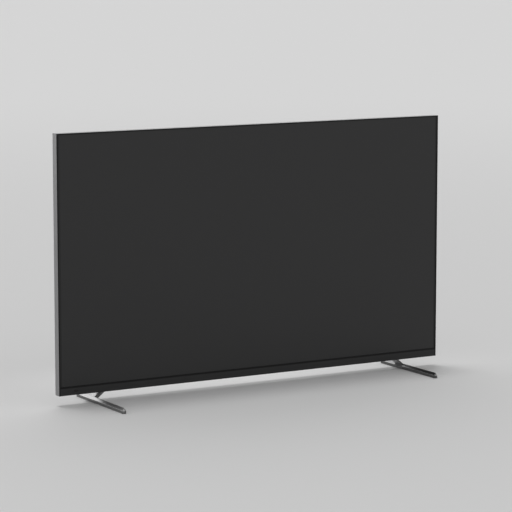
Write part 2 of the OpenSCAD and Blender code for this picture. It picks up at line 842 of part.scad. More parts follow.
module reflector_sheet() {
    x1 = pan_x - chassis_t - fit;
    z0 = pan_z0 + chassis_t + fit;
    z1 = pan_z1 - chassis_t - fit;
    y = y_rim + fit;
    color("white") difference() {
        union() {
            block(-sheet_x, sheet_x, y_sheet, y_strip, sheet_z0, sheet_z1);
            both_sides() along_z(sheet_z0, sheet_z1)
                polygon([[sheet_x, y_sheet], [sheet_x, y_strip], [x1, y + sheet_t], [x1, y]]);
            along_x(-sheet_x, sheet_x)
                polygon([[y_sheet, sheet_z0], [y_strip, sheet_z0], [y + sheet_t, z0], [y, z0]]);
            along_x(-sheet_x, sheet_x)
                polygon([[y_sheet, sheet_z1], [y_strip, sheet_z1], [y + sheet_t, z1], [y, z1]]);
        }
        at_each_light() rod_y(y_sheet - past, y_strip + past, 0, 0, chip_hole_r);
    }
}

module led_strips() {
    color("gainsboro") {
        for (j = [0:led_rows - 1]) {
            z = sheet_z0 + (j + 0.5) * led_pitch_z;
            block(-sheet_x, sheet_x, y_strip, y_floor, z - led_w / 2, z + led_w / 2);
        }
        at_each_light() block(-chip_s / 2, chip_s / 2, y_sheet + fit / 2, y_strip + fit, -chip_s / 2, chip_s / 2);
    }
}

// The chassis is a pressed steel pan with a rim, and upright beads above the housing.
module chassis_pan() {
    bead_pitch = 2 * pan_x / bead_n;
    bead_z0 = z_split + bead_w;
    bead_z1 = pan_z1 - bead_w;
    color("lightgray") difference() {
        union() {
            block(-stack_x, stack_x, y_rim, y_rim + chassis_t, stack_z0, stack_z1);
            block(-pan_x, pan_x, y_rim, y_chassis, pan_z0, pan_z1);
            for (i = [0:bead_n - 1])
                bead((i + 0.5) * bead_pitch - pan_x, bead_w, y_chassis - chassis_t / 2, bead_z0, bead_z1);
        }
        block(chassis_t - pan_x, pan_x - chassis_t, y_rim - past, y_floor, pan_z0 + chassis_t, pan_z1 - chassis_t);
        for (i = [0:bead_n - 1])
            bead((i + 0.5) * bead_pitch - pan_x, bead_w - 2 * chassis_t, y_floor - chassis_t / 2,
                bead_z0 + chassis_t, bead_z1 - chassis_t);
    }
}

// A bead is a low trapezoid that stands out behind the sheet.
module bead(x, w, y, z0, z1) {
    top = bead_h + chassis_t / 2;
    along_z(z0, z1) polygon([
        [x - w / 2, y], [x + w / 2, y], [x + w / 2 - top, y + top], [x - w / 2 + top, y + top]
    ]);
}

// Electronics behind the chassis

module at_board_corners(x0, x1, z0, z1) {
    for (x = [x0 + board_in, x1 - board_in], z = [z0 + board_in, z1 - board_in]) translate([x, 0, z]) children();
}

module at_all_board_corners() {
    at_board_corners(board_x0, board_x1, board_z0, board_z1) children();
    at_board_corners(-board_x1, -board_x0, board_z0, board_z1) children();
    at_board_corners(-timing_w / 2, timing_w / 2, timing_z0, timing_z1) children();
}

module board(x0, x1, z0, z1) {
    difference() {
        along_y(y_board0, y_board1) round_rect(x0, x1, z0, z1, board_in / 3);
        at_board_corners(x0, x1, z0, z1) rod_y(y_board0 - past, y_board1 + past, 0, 0, screw_bore);
    }
}

module standoffs() {
    color("goldenrod") at_all_board_corners() difference() {
        rod_y(y_chassis, y_board0, 0, 0, standoff_r);
        rod_y(y_board0 - standoff_bore_l, y_board0 + past, 0, 0, screw_bore);
    }
}

module board_screws() {
    color("silver") at_all_board_corners() {
        rod_y(y_board1, y_board1 + screw_head_h, 0, 0, screw_head_r);
        rod_y(y_board0 - board_screw_l, y_board1 + fit, 0, 0, screw_r);
    }
}

// The main board carries its processor and the sockets along the connector bay.
module main_board() {
    color("darkgreen") {
        board(board_x0, board_x1, board_z0, board_z1);
        block(cpu_x - chip_w / 2, cpu_x + chip_w / 2, y_board1 - fit, y_board1 + chip_t,
            cpu_z - chip_w / 2, cpu_z + chip_w / 2);
    }
}

module heat_sink() {
    y0 = y_board1 + chip_t;
    pitch = (sink_s - sink_fin_t) / (sink_fins - 1);
    color("silver") {
        block(cpu_x - sink_s / 2, cpu_x + sink_s / 2, y0, y0 + sink_base, cpu_z - sink_s / 2, cpu_z + sink_s / 2);
        for (i = [0:sink_fins - 1]) {
            x = cpu_x - sink_s / 2 + i * pitch;
            block(x, x + sink_fin_t, y0 + sink_base - fit, y0 + sink_base + sink_fin_h,
                cpu_z - sink_s / 2, cpu_z + sink_s / 2);
        }
    }
}

module timing_board() {
    color("darkgreen") board(-timing_w / 2, timing_w / 2, timing_z0, timing_z1);
}

module power_board() {
    color("#b08a4a") board(-board_x1, -board_x0, board_z0, board_z1);
}

// Tall parts of the power board: transformers above, capacitors across the middle and heat plates below.
module power_parts() {
    x = -(board_x0 + board_x1) / 2;
    step = board_w / 6;
    top_z = bay_z + board_h / 4;
    low_z = bay_z - board_h / 4;
    color("#4a4a50") for (i = [-1, 1]) {
        block(x + i * step - transformer_s / 2, x + i * step + transformer_s / 2, y_board1,
            y_board1 + transformer_d, top_z - transformer_s / 2, top_z + transformer_s / 2);
        rod_y(y_board1, y_board1 + capacitor_l, x + i * step / 2, bay_z, capacitor_r);
        block(x + i * step - plate_t / 2, x + i * step + plate_t / 2, y_board1, y_board1 + plate_d,
            low_z - plate_h / 2, low_z + plate_h / 2);
    }
}

module wireless_module() {
    x = board_x0 + board_w / 2;
    z = (board_z1 + bump_z1) / 2;
    color("darkgreen") block(x - wireless_w / 2, x + wireless_w / 2, y_chassis, y_chassis + wireless_t,
        z - wireless_h / 2, z + wireless_h / 2);
}

// Flat cable between the power board and the main board
module supply_cable() {
    z = bay_z + board_h / 4;
    color("black") block(-board_x0 - cable_tuck, board_x0 + cable_tuck, y_cable, y_cable + cable_t,
        z - cable_w / 2, z + cable_w / 2);
}

// Flat cable from the power board up to the light strips' plug
module backlight_cable() {
    x = -board_x0 - board_w / 4;
    color("black") {
        block(x - cable_w / 2, x + cable_w / 2, y_cable, y_cable + cable_t,
            board_z1 - cable_tuck, board_z1 + cable_tuck);
        block(x - plug_l, x + plug_l, y_chassis, y_chassis + plug_t,
            board_z1 + cable_tuck - fit, board_z1 + cable_tuck + plug_l);
    }
}

// Leads from the main board to both speakers, over the ribbons
module speaker_leads() {
    over_bush = vesa_z - vesa_h / 2 + bush_flange_r + lead_gap + lead_w / 2;
    z = max((speaker_z1 + board_z0) / 2, over_bush);
    x = speaker_x;
    color("firebrick") {
        block(-x - lead_w / 2, x + lead_w / 2, y_lead, y_lead + cable_t, z - lead_w / 2, z + lead_w / 2);
        both_sides() block(x - lead_w / 2, x + lead_w / 2, y_lead, y_lead + cable_t, speaker_z1 - lead_tuck, z);
        block(x - lead_w / 2, x + lead_w / 2, y_lead, y_lead + cable_t, z, board_z0 + lead_tuck);
    }
}

// Sockets

// A sheet shell with its mouth at the bay wall
module socket_shell(z, w, h, wall) {
    y0 = socket_y;
    difference() {
        block(bay_x - socket_l, bay_x, y0, y0 + h + 2 * wall, z - w / 2 - wall, z + w / 2 + wall);
        block(bay_x - socket_l + socket_floor, bay_x + past, y0 + wall, y0 + wall + h, z - w / 2, z + w / 2);
    }
}

// Room for a socket in the bay wall
module socket_room(z, w, h, wall) {
    block(bay_x - bump_wall - past, bay_x + past, socket_y - fit, socket_y + h + 2 * wall + fit,
        z - w / 2 - wall - fit, z + w / 2 + wall + fit);
}

module video_sockets() {
    color("silver") for (z = video_z) socket_shell(z, video_w, video_h, shell_t);
}

module data_sockets() {
    color("silver") for (z = data_z) socket_shell(z, data_w, data_h, shell_t);
}

module network_socket() {
    color("#303030") socket_shell(lan_z, lan_w, lan_h, lan_wall);
}

module aerial_socket() {
    y = socket_y + aerial_base / 2;
    color("gold") difference() {
        union() {
            block(bay_x - socket_l, bay_x - bump_wall - fit, socket_y, socket_y + aerial_base,
                aerial_z - aerial_base / 2, aerial_z + aerial_base / 2);
            rod_x(bay_x - bump_wall - 2 * fit, bay_x + socket_l / 2, y, aerial_z, aerial_r);
        }
        rod_x(bay_x - socket_l / 2, bay_x + socket_l, y, aerial_z, aerial_r / 4);
    }
}

module optical_socket() {
    color("#202020") block(bay_x - socket_l, bay_x, socket_y, socket_y + optical_s,
        optical_z - optical_s / 2, optical_z + optical_s / 2);
}

// Outline of a two pin inlet: two round ends and the waist between them, drawn in Y and Z
module inlet_shape() {
    for (i = [-1, 1]) translate([inlet_y, bay_z + i * inlet_gap / 2]) circle(inlet_r);
    translate([inlet_y - inlet_waist, bay_z - inlet_gap / 2]) square([2 * inlet_waist, inlet_gap]);
}

module mains_inlet() {
    color("#1c1c1e") difference() {
        block(-bay_x, inlet_l - bay_x, y_board1, y_board1 + inlet_h, bay_z - inlet_w / 2, bay_z + inlet_w / 2);
        along_x(-bay_x - past, inlet_depth - bay_x) inlet_shape();
    }
}

module mains_pins() {
    color("silver") for (i = [-1, 1])
        rod_x(socket_floor - bay_x, inlet_depth - bay_x, inlet_y, bay_z + i * inlet_gap / 2, inlet_pin_r);
}

// Speakers: sealed boxes with a long driver that faces down

// A pocket or cone with round ends, from z = 0 up
module racetrack(l, r0, r1, h) {
    x = l / 2 - r0;
    for (i = [-x, x]) translate([i, 0, 0]) cylinder(r1 = r0, r2 = r1, h = h);
    along_x(-x, x) polygon([[-r0, 0], [r0, 0], [r1, h], [-r1, h]]);
}

module at_driver() {
    both_sides() translate([speaker_x, speaker_y, speaker_z0]) children();
}

module speaker_boxes() {
    color("#222426") difference() {
        both_sides() along_x(speaker_x - speaker_l / 2, speaker_x + speaker_l / 2) polygon([
            [speaker_y0, speaker_z0], [speaker_edge, speaker_z0], [speaker_y1, speaker_z0 + bevel_in],
            [speaker_y1, speaker_z1], [speaker_y0, speaker_z1]
        ]);
        at_driver() translate([0, 0, -past]) racetrack(driver_l, driver_r, driver_r, driver_d + past);
    }
}

// A driver is a flange, a cone that narrows upwards and a magnet.
module speaker_drivers() {
    r = driver_r - fit;
    l = driver_l - 2 * fit;
    cone_h = driver_d / 2;
    color("dimgray") at_driver() difference() {
        union() {
            racetrack(l, r, r, driver_flange);
            racetrack(l - driver_flange, r - driver_flange / 2, r / 2, cone_h);
            cylinder(r = magnet_r, h = driver_d);
        }
        translate([0, 0, -fit]) racetrack(l - 2 * driver_flange, r - driver_flange, r / 4, cone_h - driver_flange);
    }
}

// Threaded bushes for a wall mount, flush with the housing's back
module mount_bushes() {
    color("silver") at_mounts() difference() {
        union() {
            rod_y(y_chassis, y_rear, 0, 0, bush_r);
            rod_y(y_chassis, y_chassis + bush_flange_t, 0, 0, bush_flange_r);
        }
        rod_y(y_rear - vesa_depth, y_rear + past, 0, 0, vesa_bore / 2);
    }
}

module at_mounts() {
    for (x = [-1, 1], z = [-1, 1]) translate([x * vesa_w / 2, 0, vesa_z + z * vesa_h / 2]) children();
}

// Rear covers

module rear_panel() {
    color("#2a2b2d") drilled()
        block(-cover_x, cover_x, y_back - cover_t, y_back, z_split + seam / 2, cover_z1);
}

// The raised part, drawn in by an inset: upright corners are round and the back's edges bevelled.
module bump(inset) {
    x = bump_x - inset;
    z0 = bump_z0 + inset;
    z1 = bump_z1 - inset;
    y0 = y_back - cover_t - (inset > 0 ? past : 0);
    y1 = y_rear - inset;
    c = bump_bevel - inset * (2 - root2);
    intersection() {
        along_y(y0, y1) round_rect(-x, x, z0, z1, bump_r - inset);
        along_x(-x, x) polygon([[y0, z0], [y1 - c, z0], [y1, z0 + c], [y1, z1 - c], [y1 - c, z1], [y0, z1]]);
        along_z(z0, z1) polygon([[-x, y0], [x, y0], [x, y1 - c], [x - c, y1], [c - x, y1], [-x, y1 - c]]);
    }
}

// The two bays, grown by a margin: connectors to the right and mains to the left, as seen from the front
module bays(grow) {
    y0 = y_back - grow;
    block(bay_x - grow, bump_x + past, y0, y_rear + past, bay_z - bay_h / 2 - grow, bay_z + bay_h / 2 + grow);
    block(-bump_x - past, grow - bay_x, y0, y_rear + past,
        bay_z - inlet_bay_h / 2 - grow, bay_z + inlet_bay_h / 2 + grow);
}

module vents() {
    for (i = [0:vent_cols - 1], j = [0:vent_rows - 1]) {
        x = vesa_w / 2 + bush_flange_r + vent_step / 2 + i * vent_step;
        z = bump_z1 - bump_bevel - (j + 1) * vent_pitch;
        slot_shape(x, z, vent_l, vent_w);
    }
}

module sound_slots() {
    for (i = [0:sound_n - 1]) {
        x = speaker_x + (i - (sound_n - 1) / 2) * sound_step;
        block(x - vent_w / 2, x + vent_w / 2, speaker_y - sound_l / 2, speaker_y + sound_l / 2,
            bump_z0 - past, floor_z + past);
    }
}

// Walls that the cavity leaves standing: the wells of the stand screws, the dish and the key board's bosses
module inner_walls() {
    both_sides() at_stand_screws() rod_y(bracket_y1 + fit, y_rear - bump_wall / 2, 0, 0, well_r + well_wall);
    translate([-jog_x, 0, jog_z]) {
        rod_y(y_rear - dish_d - bump_wall, y_rear - bump_wall / 2, 0, 0, dish_r + bump_wall);
        for (i = [-1, 1]) rod_y(key_board_y0 + board_t, y_rear - bump_wall / 2,
            i * (key_board_l / 2 - boss_r), 0, boss_r);
    }
}

module rear_housing() {
    color("#2a2b2d") drilled() difference() {
        union() {
            difference() {
                union() {
                    block(-cover_x, cover_x, y_back - cover_t, y_back, cover_z0, z_split - seam / 2);
                    bump(0);
                }
                bays(0);
                difference() {
                    bump(bump_wall);
                    bays(bump_wall);
                }
            }
            inner_walls();
        }
        both_sides() {
            block(slot_x0, slot_x1, y_back - cover_t - past, y_back + slot_play, cover_z0 - past, floor_z + past);
            at_stand_screws() rod_y(bracket_y1, y_rear + past, 0, 0, well_r);
            along_y(y_rear - bump_wall - past, y_rear + past) vents();
            sound_slots();
        }
        at_mounts() rod_y(y_rear - bump_wall - past, y_rear + past, 0, 0, bush_r + fit);
        translate([-jog_x, 0, jog_z]) {
            rod_y(y_rear - dish_d, y_rear + past, 0, 0, dish_r);
            rod_y(y_rear - dish_d - bump_wall - past, y_rear, 0, 0, stem_hole_r);
        }
        for (z = video_z) socket_room(z, video_w, video_h, shell_t);
        for (z = data_z) socket_room(z, data_w, data_h, shell_t);
        socket_room(lan_z, lan_w, lan_h, lan_wall);
        socket_room(optical_z, optical_s, optical_s, 0);
        rod_x(bay_x - bump_wall - past, bay_x + past, socket_y + aerial_base / 2, aerial_z, aerial_r + fit);
        block(-bay_x - past, bump_wall - bay_x + past, y_board1 - fit, y_board1 + inlet_h + fit,
            bay_z - inlet_w / 2 - fit, bay_z + inlet_w / 2 + fit);
    }
}

module cover_screws() {
    color("#404040") {
        cover_screw_holes(screw_head_r, y_back, y_back + screw_head_h);
        cover_screw_holes(screw_r, y_back - screw_l, y_back + fit);
    }
}

// Jog key

module key_board() {
    color("darkgreen") block(-jog_x - key_board_l / 2, key_board_l / 2 - jog_x, key_board_y0, case_y0,
        jog_z - key_board_h / 2, jog_z + key_board_h / 2);
}

// The switch case guides the plunger and holds it down with a lip.
module switch_case() {
    pocket = plunger_s / 2 + slide;
    color("#303030") translate([-jog_x, 0, jog_z]) difference() {
        block(-case_s / 2, case_s / 2, case_y0, case_y1, -case_s / 2, case_s / 2);
        block(-pocket, pocket, plunger_y0 - press_room, plunger_y1 + slide, -pocket, pocket);
        rod_y(plunger_y1, case_y1 + past, 0, 0, ring_room + slide);
    }
}

module jog_plunger() {
    color("ivory") translate([-jog_x, 0, jog_z]) difference() {
        block(-plunger_s / 2, plunger_s / 2, plunger_y0, plunger_y1, -plunger_s / 2, plunger_s / 2);
        rod_y(plunger_y0 - past, plunger_y1 + past, 0, 0, ring_room);
        rod_x(-plunger_s / 2 - past, plunger_s / 2 + past, y_pivot, 0, pin_r + run);
    }
}

// The ring tilts on pins along X and holds the stem's pins along Z.
module jog_ring() {
    pin_reach = plunger_s / 2 - slide;
    color("gray") translate([-jog_x, 0, jog_z]) difference() {
        union() {
            rod_y(y_pivot - ring_t / 2, y_pivot + ring_t / 2, 0, 0, ring_out);
            rod_x(-pin_reach, pin_reach, y_pivot, 0, pin_r);
        }
        rod_y(y_pivot - ring_t, y_pivot + ring_t, 0, 0, ring_in);
        translate([0, y_pivot, -ring_out - past]) cylinder(r = pin_r + run, h = 2 * (ring_out + past));
    }
}

module jog_stem() {
    pin_reach = ring_out - slide;
    color("black") translate([-jog_x, 0, jog_z]) {
        translate([0, y_pivot, 0]) sphere(hub_r);
        rod_y(y_pivot, stem_y1, 0, 0, stem_r);
        translate([0, y_pivot, -pin_reach]) cylinder(r = pin_r, h = 2 * pin_reach);
    }
}

// The cap is a turned knob with a shallow hollow on its back, pushed on the stem.
module jog_cap() {
    rim = cap_r / 7;
    color("#18181a") translate([-jog_x, 0, jog_z]) difference() {
        translate([0, cap_y0, 0]) rotate([-90, 0, 0]) rotate_extrude() polygon([
            [0, 0], [cap_r - rim, 0], [cap_r, rim], [cap_r, cap_h - rim], [cap_r - rim, cap_h],
            [cap_r - 2 * rim, cap_h], [cap_r / 3, cap_h - cap_roof / 3], [0, cap_h - cap_roof / 3]
        ]);
        rod_y(cap_y0 - past, stem_y1, 0, 0, stem_r + run / 2);
    }
}

// Stand

module at_stand_screws() {
    for (i = [0, 1]) translate([tongue_x, 0, stand_screw_z + i * stand_screw_gap]) children();
}

// Hat shaped bracket on the chassis that traps the foot's tongue
module stand_bracket() {
    x0 = bracket_x0;
    x1 = bracket_x1;
    t = bracket_t;
    difference() {
        along_z(bracket_z0, bracket_z1) polygon([
            [x0 - bracket_flange, y_chassis], [x0, y_chassis], [x0, bracket_y0], [x1, bracket_y0],
            [x1, y_chassis], [x1 + bracket_flange, y_chassis], [x1 + bracket_flange, y_chassis + t],
            [x1 + t, y_chassis + t], [x1 + t, bracket_y1], [x0 - t, bracket_y1],
            [x0 - t, y_chassis + t], [x0 - bracket_flange, y_chassis + t]
        ]);
        at_stand_screws() rod_y(bracket_y0 - past, bracket_y1 + past, 0, 0, stand_screw_r + fit);
    }
}

// Half of the floor bar's section: upright side, shoulder and a steep facet up to the ridge
module bar_half() {
    polygon([
        [0, bar_z0], [foot_w / 2, bar_z0], [foot_w / 2, shoulder_z],
        [foot_w / 2 - shoulder_w, shoulder_z + shoulder_w / 2], [ridge_w / 2, bar_z1], [0, bar_z1]
    ]);
}

// Floor bar with its section turned about each end
module foot_bar() {
    along_y(-bar_end, bar_end) {
        bar_half();
        mirror([1, 0]) bar_half();
    }
    for (i = [-1, 1]) translate([0, i * bar_end, 0]) rotate_extrude() bar_half();
}

// Outline of the leaning neck, drawn in X and Z
module neck_shape() {
    polygon([
        [neck_in + neck_sunk, neck_root], [foot_x, neck_root], [foot_x, bar_z1],
        [neck_top_x + neck_t, neck_z1], [neck_top_x, neck_z1]
    ]);
}

// A foot is one casting: a floor bar, a neck that leans inwards and a tongue that goes up into the set.
module foot() {
    difference() {
        union() {
            translate([foot_x, 0, 0]) foot_bar();
            along_y(neck_y0, neck_y1) neck_shape();
            block(tongue_x - tongue_w / 2, tongue_x + tongue_w / 2, tongue_y0, tongue_y1,
                z_bottom + chin_wall, tongue_z1);
        }
        at_pads() pad(pad_w, pad_l, -past, pad_t);
        at_stand_screws() rod_y(tongue_y0 - past, tongue_y1 + past, 0, 0, stand_screw_r + run);
    }
}

module at_pads() {
    for (i = [-1, 1]) translate([foot_x, i * (bar_end - pad_l / 2), 0]) children();
}

module pad(w, l, z0, z1) {
    along_z(z0, z1) round_rect(-w / 2, w / 2, -l / 2, l / 2, w / 3);
}

module foot_right() { color("#8d8e90") foot(); }
module foot_left() { color("#8d8e90") mirror([1, 0, 0]) foot(); }
module foot_pads() { color("#151515") both_sides() at_pads() pad(pad_w - 2 * fit, pad_l - 2 * fit, 0, pad_t); }
module stand_bracket_right() { color("gainsboro") stand_bracket(); }
module stand_bracket_left() { color("gainsboro") mirror([1, 0, 0]) stand_bracket(); }

module stand_screws() {
    color("dimgray") both_sides() at_stand_screws() {
        rod_y(bracket_y1, bracket_y1 + stand_head_h, 0, 0, stand_head_r);
        rod_y(bracket_y1 - stand_screw_l, bracket_y1 + fit, 0, 0, stand_screw_r);
    }
}

bezel_left();
bezel_right();
bezel_top();
bezel_band();
chin_bar();
sensor_window();
sensor_board();
frame_left();
frame_right();
frame_top();
corner_keys();
lcd_panel();
panel_flexes();
source_boards();
panel_ribbons();
film_pack();
diffuser_plate();
middle_frame();
led_lenses();
reflector_sheet();
led_strips();
chassis_pan();
standoffs();
board_screws();
main_board();
heat_sink();
timing_board();
power_board();
power_parts();
wireless_module();
supply_cable();
backlight_cable();
speaker_leads();
video_sockets();
data_sockets();
network_socket();
aerial_socket();
optical_socket();
mains_inlet();
mains_pins();
speaker_boxes();
speaker_drivers();
mount_bushes();
rear_panel();
rear_housing();
cover_screws();
key_board();
switch_case();
jog_plunger();
jog_ring();
jog_stem();
jog_cap();
stand_bracket_left();
stand_bracket_right();
foot_left();
foot_right();
foot_pads();
stand_screws();
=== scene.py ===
# %% [markdown]
# A flat screen television, dressed for a studio picture.
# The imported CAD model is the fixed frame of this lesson: its solids are already at the right place and size.
# Blender adds what CAD leaves open: finishes, small shaped details, light and a camera.

# %% Load the frame
import json
import math
import bpy
import bmesh
from mathutils import Matrix, Vector


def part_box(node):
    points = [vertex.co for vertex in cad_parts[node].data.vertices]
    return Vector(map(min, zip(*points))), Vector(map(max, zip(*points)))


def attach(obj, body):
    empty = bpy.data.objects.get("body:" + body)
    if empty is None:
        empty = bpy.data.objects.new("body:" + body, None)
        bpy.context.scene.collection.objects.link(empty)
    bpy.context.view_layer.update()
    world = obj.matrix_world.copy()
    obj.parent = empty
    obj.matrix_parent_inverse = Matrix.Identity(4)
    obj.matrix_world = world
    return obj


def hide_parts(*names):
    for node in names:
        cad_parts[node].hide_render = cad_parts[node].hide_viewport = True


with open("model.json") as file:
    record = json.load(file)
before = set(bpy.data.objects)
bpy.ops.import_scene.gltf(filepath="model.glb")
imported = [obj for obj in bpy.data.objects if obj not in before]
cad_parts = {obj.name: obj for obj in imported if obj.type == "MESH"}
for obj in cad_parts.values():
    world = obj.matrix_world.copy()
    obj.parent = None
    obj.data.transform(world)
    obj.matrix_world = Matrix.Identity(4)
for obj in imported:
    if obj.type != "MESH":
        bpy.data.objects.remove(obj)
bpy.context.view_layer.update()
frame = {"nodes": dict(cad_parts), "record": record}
nodes = frame["nodes"]

# %% [markdown]
# The camera stands well to the left of the set and a little above it, with a long lens.
# A camera can be placed by eye, or worked out from the corners of the set as they lie in the picture.
# The second way was used, so the numbers below are measured from the chin's lower front edge.

# %% Camera at the photograph's angle
chin_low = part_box("chin_bar")[0]
front_y = chin_low.y
lower_z = chin_low.z

camera_left = 3.9776
camera_ahead = 6.8051
camera_up = 1.4940
look_right = 30.306
look_down = 7.894

camera_data = bpy.data.cameras.new("photo_camera")
camera_data.sensor_width = 36.0
camera_data.lens = 169.1
camera_data.clip_end = 400.0
camera = bpy.data.objects.new("photo_camera", camera_data)
camera.location = (-camera_left, front_y - camera_ahead, lower_z + camera_up)
camera.rotation_euler = (math.radians(90 - look_down), 0, math.radians(-look_right))
bpy.context.scene.collection.objects.link(camera)
bpy.context.scene.camera = camera
bpy.context.scene.view_settings.view_transform = "Standard"
print("camera at", [round(v, 3) for v in camera.location])

# %% [markdown]
# Every step below makes objects, materials and shader nodes, so a few short functions come first.
# In the editor these are menu entries and dragged links. Written once as functions, they let a step say
# what it makes instead of how Blender stores it.

# %% New objects and materials
def new_object(name, shape):
    mesh = bpy.data.meshes.new(name)
    shape.to_mesh(mesh)
    shape.free()
    piece = bpy.data.objects.new(name, mesh)
    bpy.context.scene.collection.objects.link(piece)
    return piece


def new_material(name):
    material = bpy.data.materials.new(name)
    material.use_nodes = True
    tree = material.node_tree
    return material, tree, tree.nodes["Principled BSDF"]


def grey(value):
    return (value, value, value, 1.0)


print("ready: objects and materials")

# %% Shader nodes and their links
def add_node(tree, kind, **settings):
    node = tree.nodes.new(kind)
    for key, value in settings.items():
        setattr(node, key, value)
    return node


def feed(tree, value, socket):
    """Links another node's output to a socket, or sets the socket to a plain value."""
    if isinstance(value, bpy.types.NodeSocket):
        tree.links.new(value, socket)
    else:
        socket.default_value = value


def mix_colour(tree, factor, first, second):
    node = add_node(tree, "ShaderNodeMix", data_type="RGBA")
    # The node holds sockets for every kind of data: its colours are inputs 6 and 7 and output 2.
    for value, number in ((factor, 0), (first, 6), (second, 7)):
        feed(tree, value, node.inputs[number])
    return node.outputs[2]


def do_math(tree, operation, first, second=0.0, clamp=False):
    node = add_node(tree, "ShaderNodeMath", operation=operation, use_clamp=clamp)
    feed(tree, first, node.inputs[0])
    feed(tree, second, node.inputs[1])
    return node.outputs[0]


def map_range(tree, value, low, high, to_low, to_high, smooth=False):
    node = add_node(tree, "ShaderNodeMapRange", interpolation_type="SMOOTHSTEP" if smooth else "LINEAR")
    tree.links.new(value, node.inputs["Value"])
    limits = {"From Min": low, "From Max": high, "To Min": to_low, "To Max": to_high}
    for label, number in limits.items():
        node.inputs[label].default_value = number
    return node.outputs["Result"]


def vector_math(tree, operation, first, second=None):
    node = add_node(tree, "ShaderNodeVectorMath", operation=operation)
    tree.links.new(first, node.inputs[0])
    if second is not None:
        tree.links.new(second, node.inputs[1])
    return node.outputs


def object_place(tree):
    return tree.nodes.new("ShaderNodeTexCoord").outputs["Object"]


print("ready: shader nodes")

# %% [markdown]
# The studio is a wide pale floor under an even, pale sky, with a soft light from above and behind the set.
# The floor's colour grows a little paler with distance: painted light, standing in for a brighter far
# backdrop.
# A lamp near by would leave a bright pool on the floor, so the main lights are two suns with very wide discs:
# the one overhead makes the short soft shadow in front of the set, the one behind its long faint end.
# A weak strip lamp behind the set keeps the floor that shows under the set as pale as the rest,
# and a bright panel far behind it gives the polished feet something to mirror.

# %% Floor
floor_radius = 150.0
floor_near = grey(0.74)
floor_far = grey(0.835)
near_reach = 1.0
far_reach = 14.0

floor_shape = bmesh.new()
bmesh.ops.create_circle(floor_shape, cap_ends=True, segments=64, radius=floor_radius)
studio_floor = new_object("studio_floor", floor_shape)
floor_finish, tree, shader = new_material("studio_floor")
# Painted light: the floor's colour pales from the middle outwards.
from_middle = vector_math(tree, "LENGTH", object_place(tree))["Value"]
far = map_range(tree, from_middle, near_reach, far_reach, 0.0, 1.0, smooth=True)
tree.links.new(mix_colour(tree, far, floor_near, floor_far), shader.inputs["Base Color"])
shader.inputs["Roughness"].default_value = 0.9
shader.inputs["Specular IOR Level"].default_value = 0.1
studio_floor.data.materials.append(floor_finish)
print("floor: radius", floor_radius, "m")

# %% Sky
sky_light = grey(0.46)
sky_seen = grey(0.67)

world = bpy.data.worlds.new("studio_sky")
world.use_nodes = True
bpy.context.scene.world = world
tree = world.node_tree
sky = tree.nodes["Background"]
sky.inputs["Strength"].default_value = 1.0
ray = tree.nodes.new("ShaderNodeLightPath")
seen_ray = do_math(tree, "MAXIMUM", ray.outputs["Is Camera Ray"], ray.outputs["Is Glossy Ray"])
seen_ray = do_math(tree, "MAXIMUM", seen_ray, ray.outputs["Is Transmission Ray"])
tree.links.new(mix_colour(tree, seen_ray, sky_light, sky_seen), sky.inputs["Color"])
print("sky: lights with", sky_light[0], "and shows as", sky_seen[0])

# %% Suns and lamps
def wide_sun(name, strength, disc, tilt, turn):
    data = bpy.data.lights.new(name, "SUN")
    data.energy = strength
    data.angle = math.radians(disc)
    sun = bpy.data.objects.new(name, data)
    sun.rotation_euler = (math.radians(-tilt), 0, math.radians(turn))
    bpy.context.scene.collection.objects.link(sun)


def soft_lamp(name, place, target, width, depth, power, spread):
    data = bpy.data.lights.new(name, "AREA")
    data.shape = "RECTANGLE"
    data.size = width
    data.size_y = depth
    data.energy = power
    data.spread = math.radians(spread)
    lamp = bpy.data.objects.new(name, data)
    lamp.location = place
    aim = Vector(target) - Vector(place)
    lamp.rotation_euler = aim.to_track_quat("-Z", "Y").to_euler()
    lamp.visible_camera = False
    bpy.context.scene.collection.objects.link(lamp)
    return lamp


wide_sun("sun_overhead", strength=0.88, disc=18, tilt=7, turn=25)
wide_sun("sun_behind", strength=0.27, disc=50, tilt=55, turn=-32)
soft_lamp("lamp_low_behind", place=(0.05, front_y + 0.66, 0.74), target=(0.0, front_y + 0.08, 0.0),
          width=1.15, depth=0.2, power=0.57, spread=70)
panel = soft_lamp("panel_far_behind", place=(-2.1, 5.0, 2.1), target=(-0.3, 0.0, 0.3),
                  width=4.0, depth=2.0, power=54.0, spread=180)
panel.visible_diffuse = False

# %% [markdown]
# Most finishes share a few effects: moulded grain, brushed lines, worn edges, dust and a slow drift of tone.
# Each could be drawn again in every material, but then a change would have to be made many times.
# So each effect is one node group with named inputs, and a material sets its own values.

# %% Start of a node group
NUMBER = "NodeSocketFloat"
VECTOR = "NodeSocketVector"


def new_group(name, inputs, outputs):
    group = bpy.data.node_groups.new(name, "ShaderNodeTree")
    for label, kind, value in inputs:
        socket = group.interface.new_socket(label, in_out="INPUT", socket_type=kind)
        socket.default_value = value
    for label in outputs:
        group.interface.new_socket(label, in_out="OUTPUT", socket_type=NUMBER)
    print("group:", name, "puts out", ", ".join(outputs))
    return group, group.nodes.new("NodeGroupInput"), group.nodes.new("NodeGroupOutput")


def noise(tree, place, scale, detail, roughness=0.5):
    node = tree.nodes.new("ShaderNodeTexNoise")
    tree.links.new(place, node.inputs["Vector"])
    feed(tree, scale, node.inputs["Scale"])
    node.inputs["Detail"].default_value = detail
    node.inputs["Roughness"].default_value = roughness
    return node.outputs["Fac"]


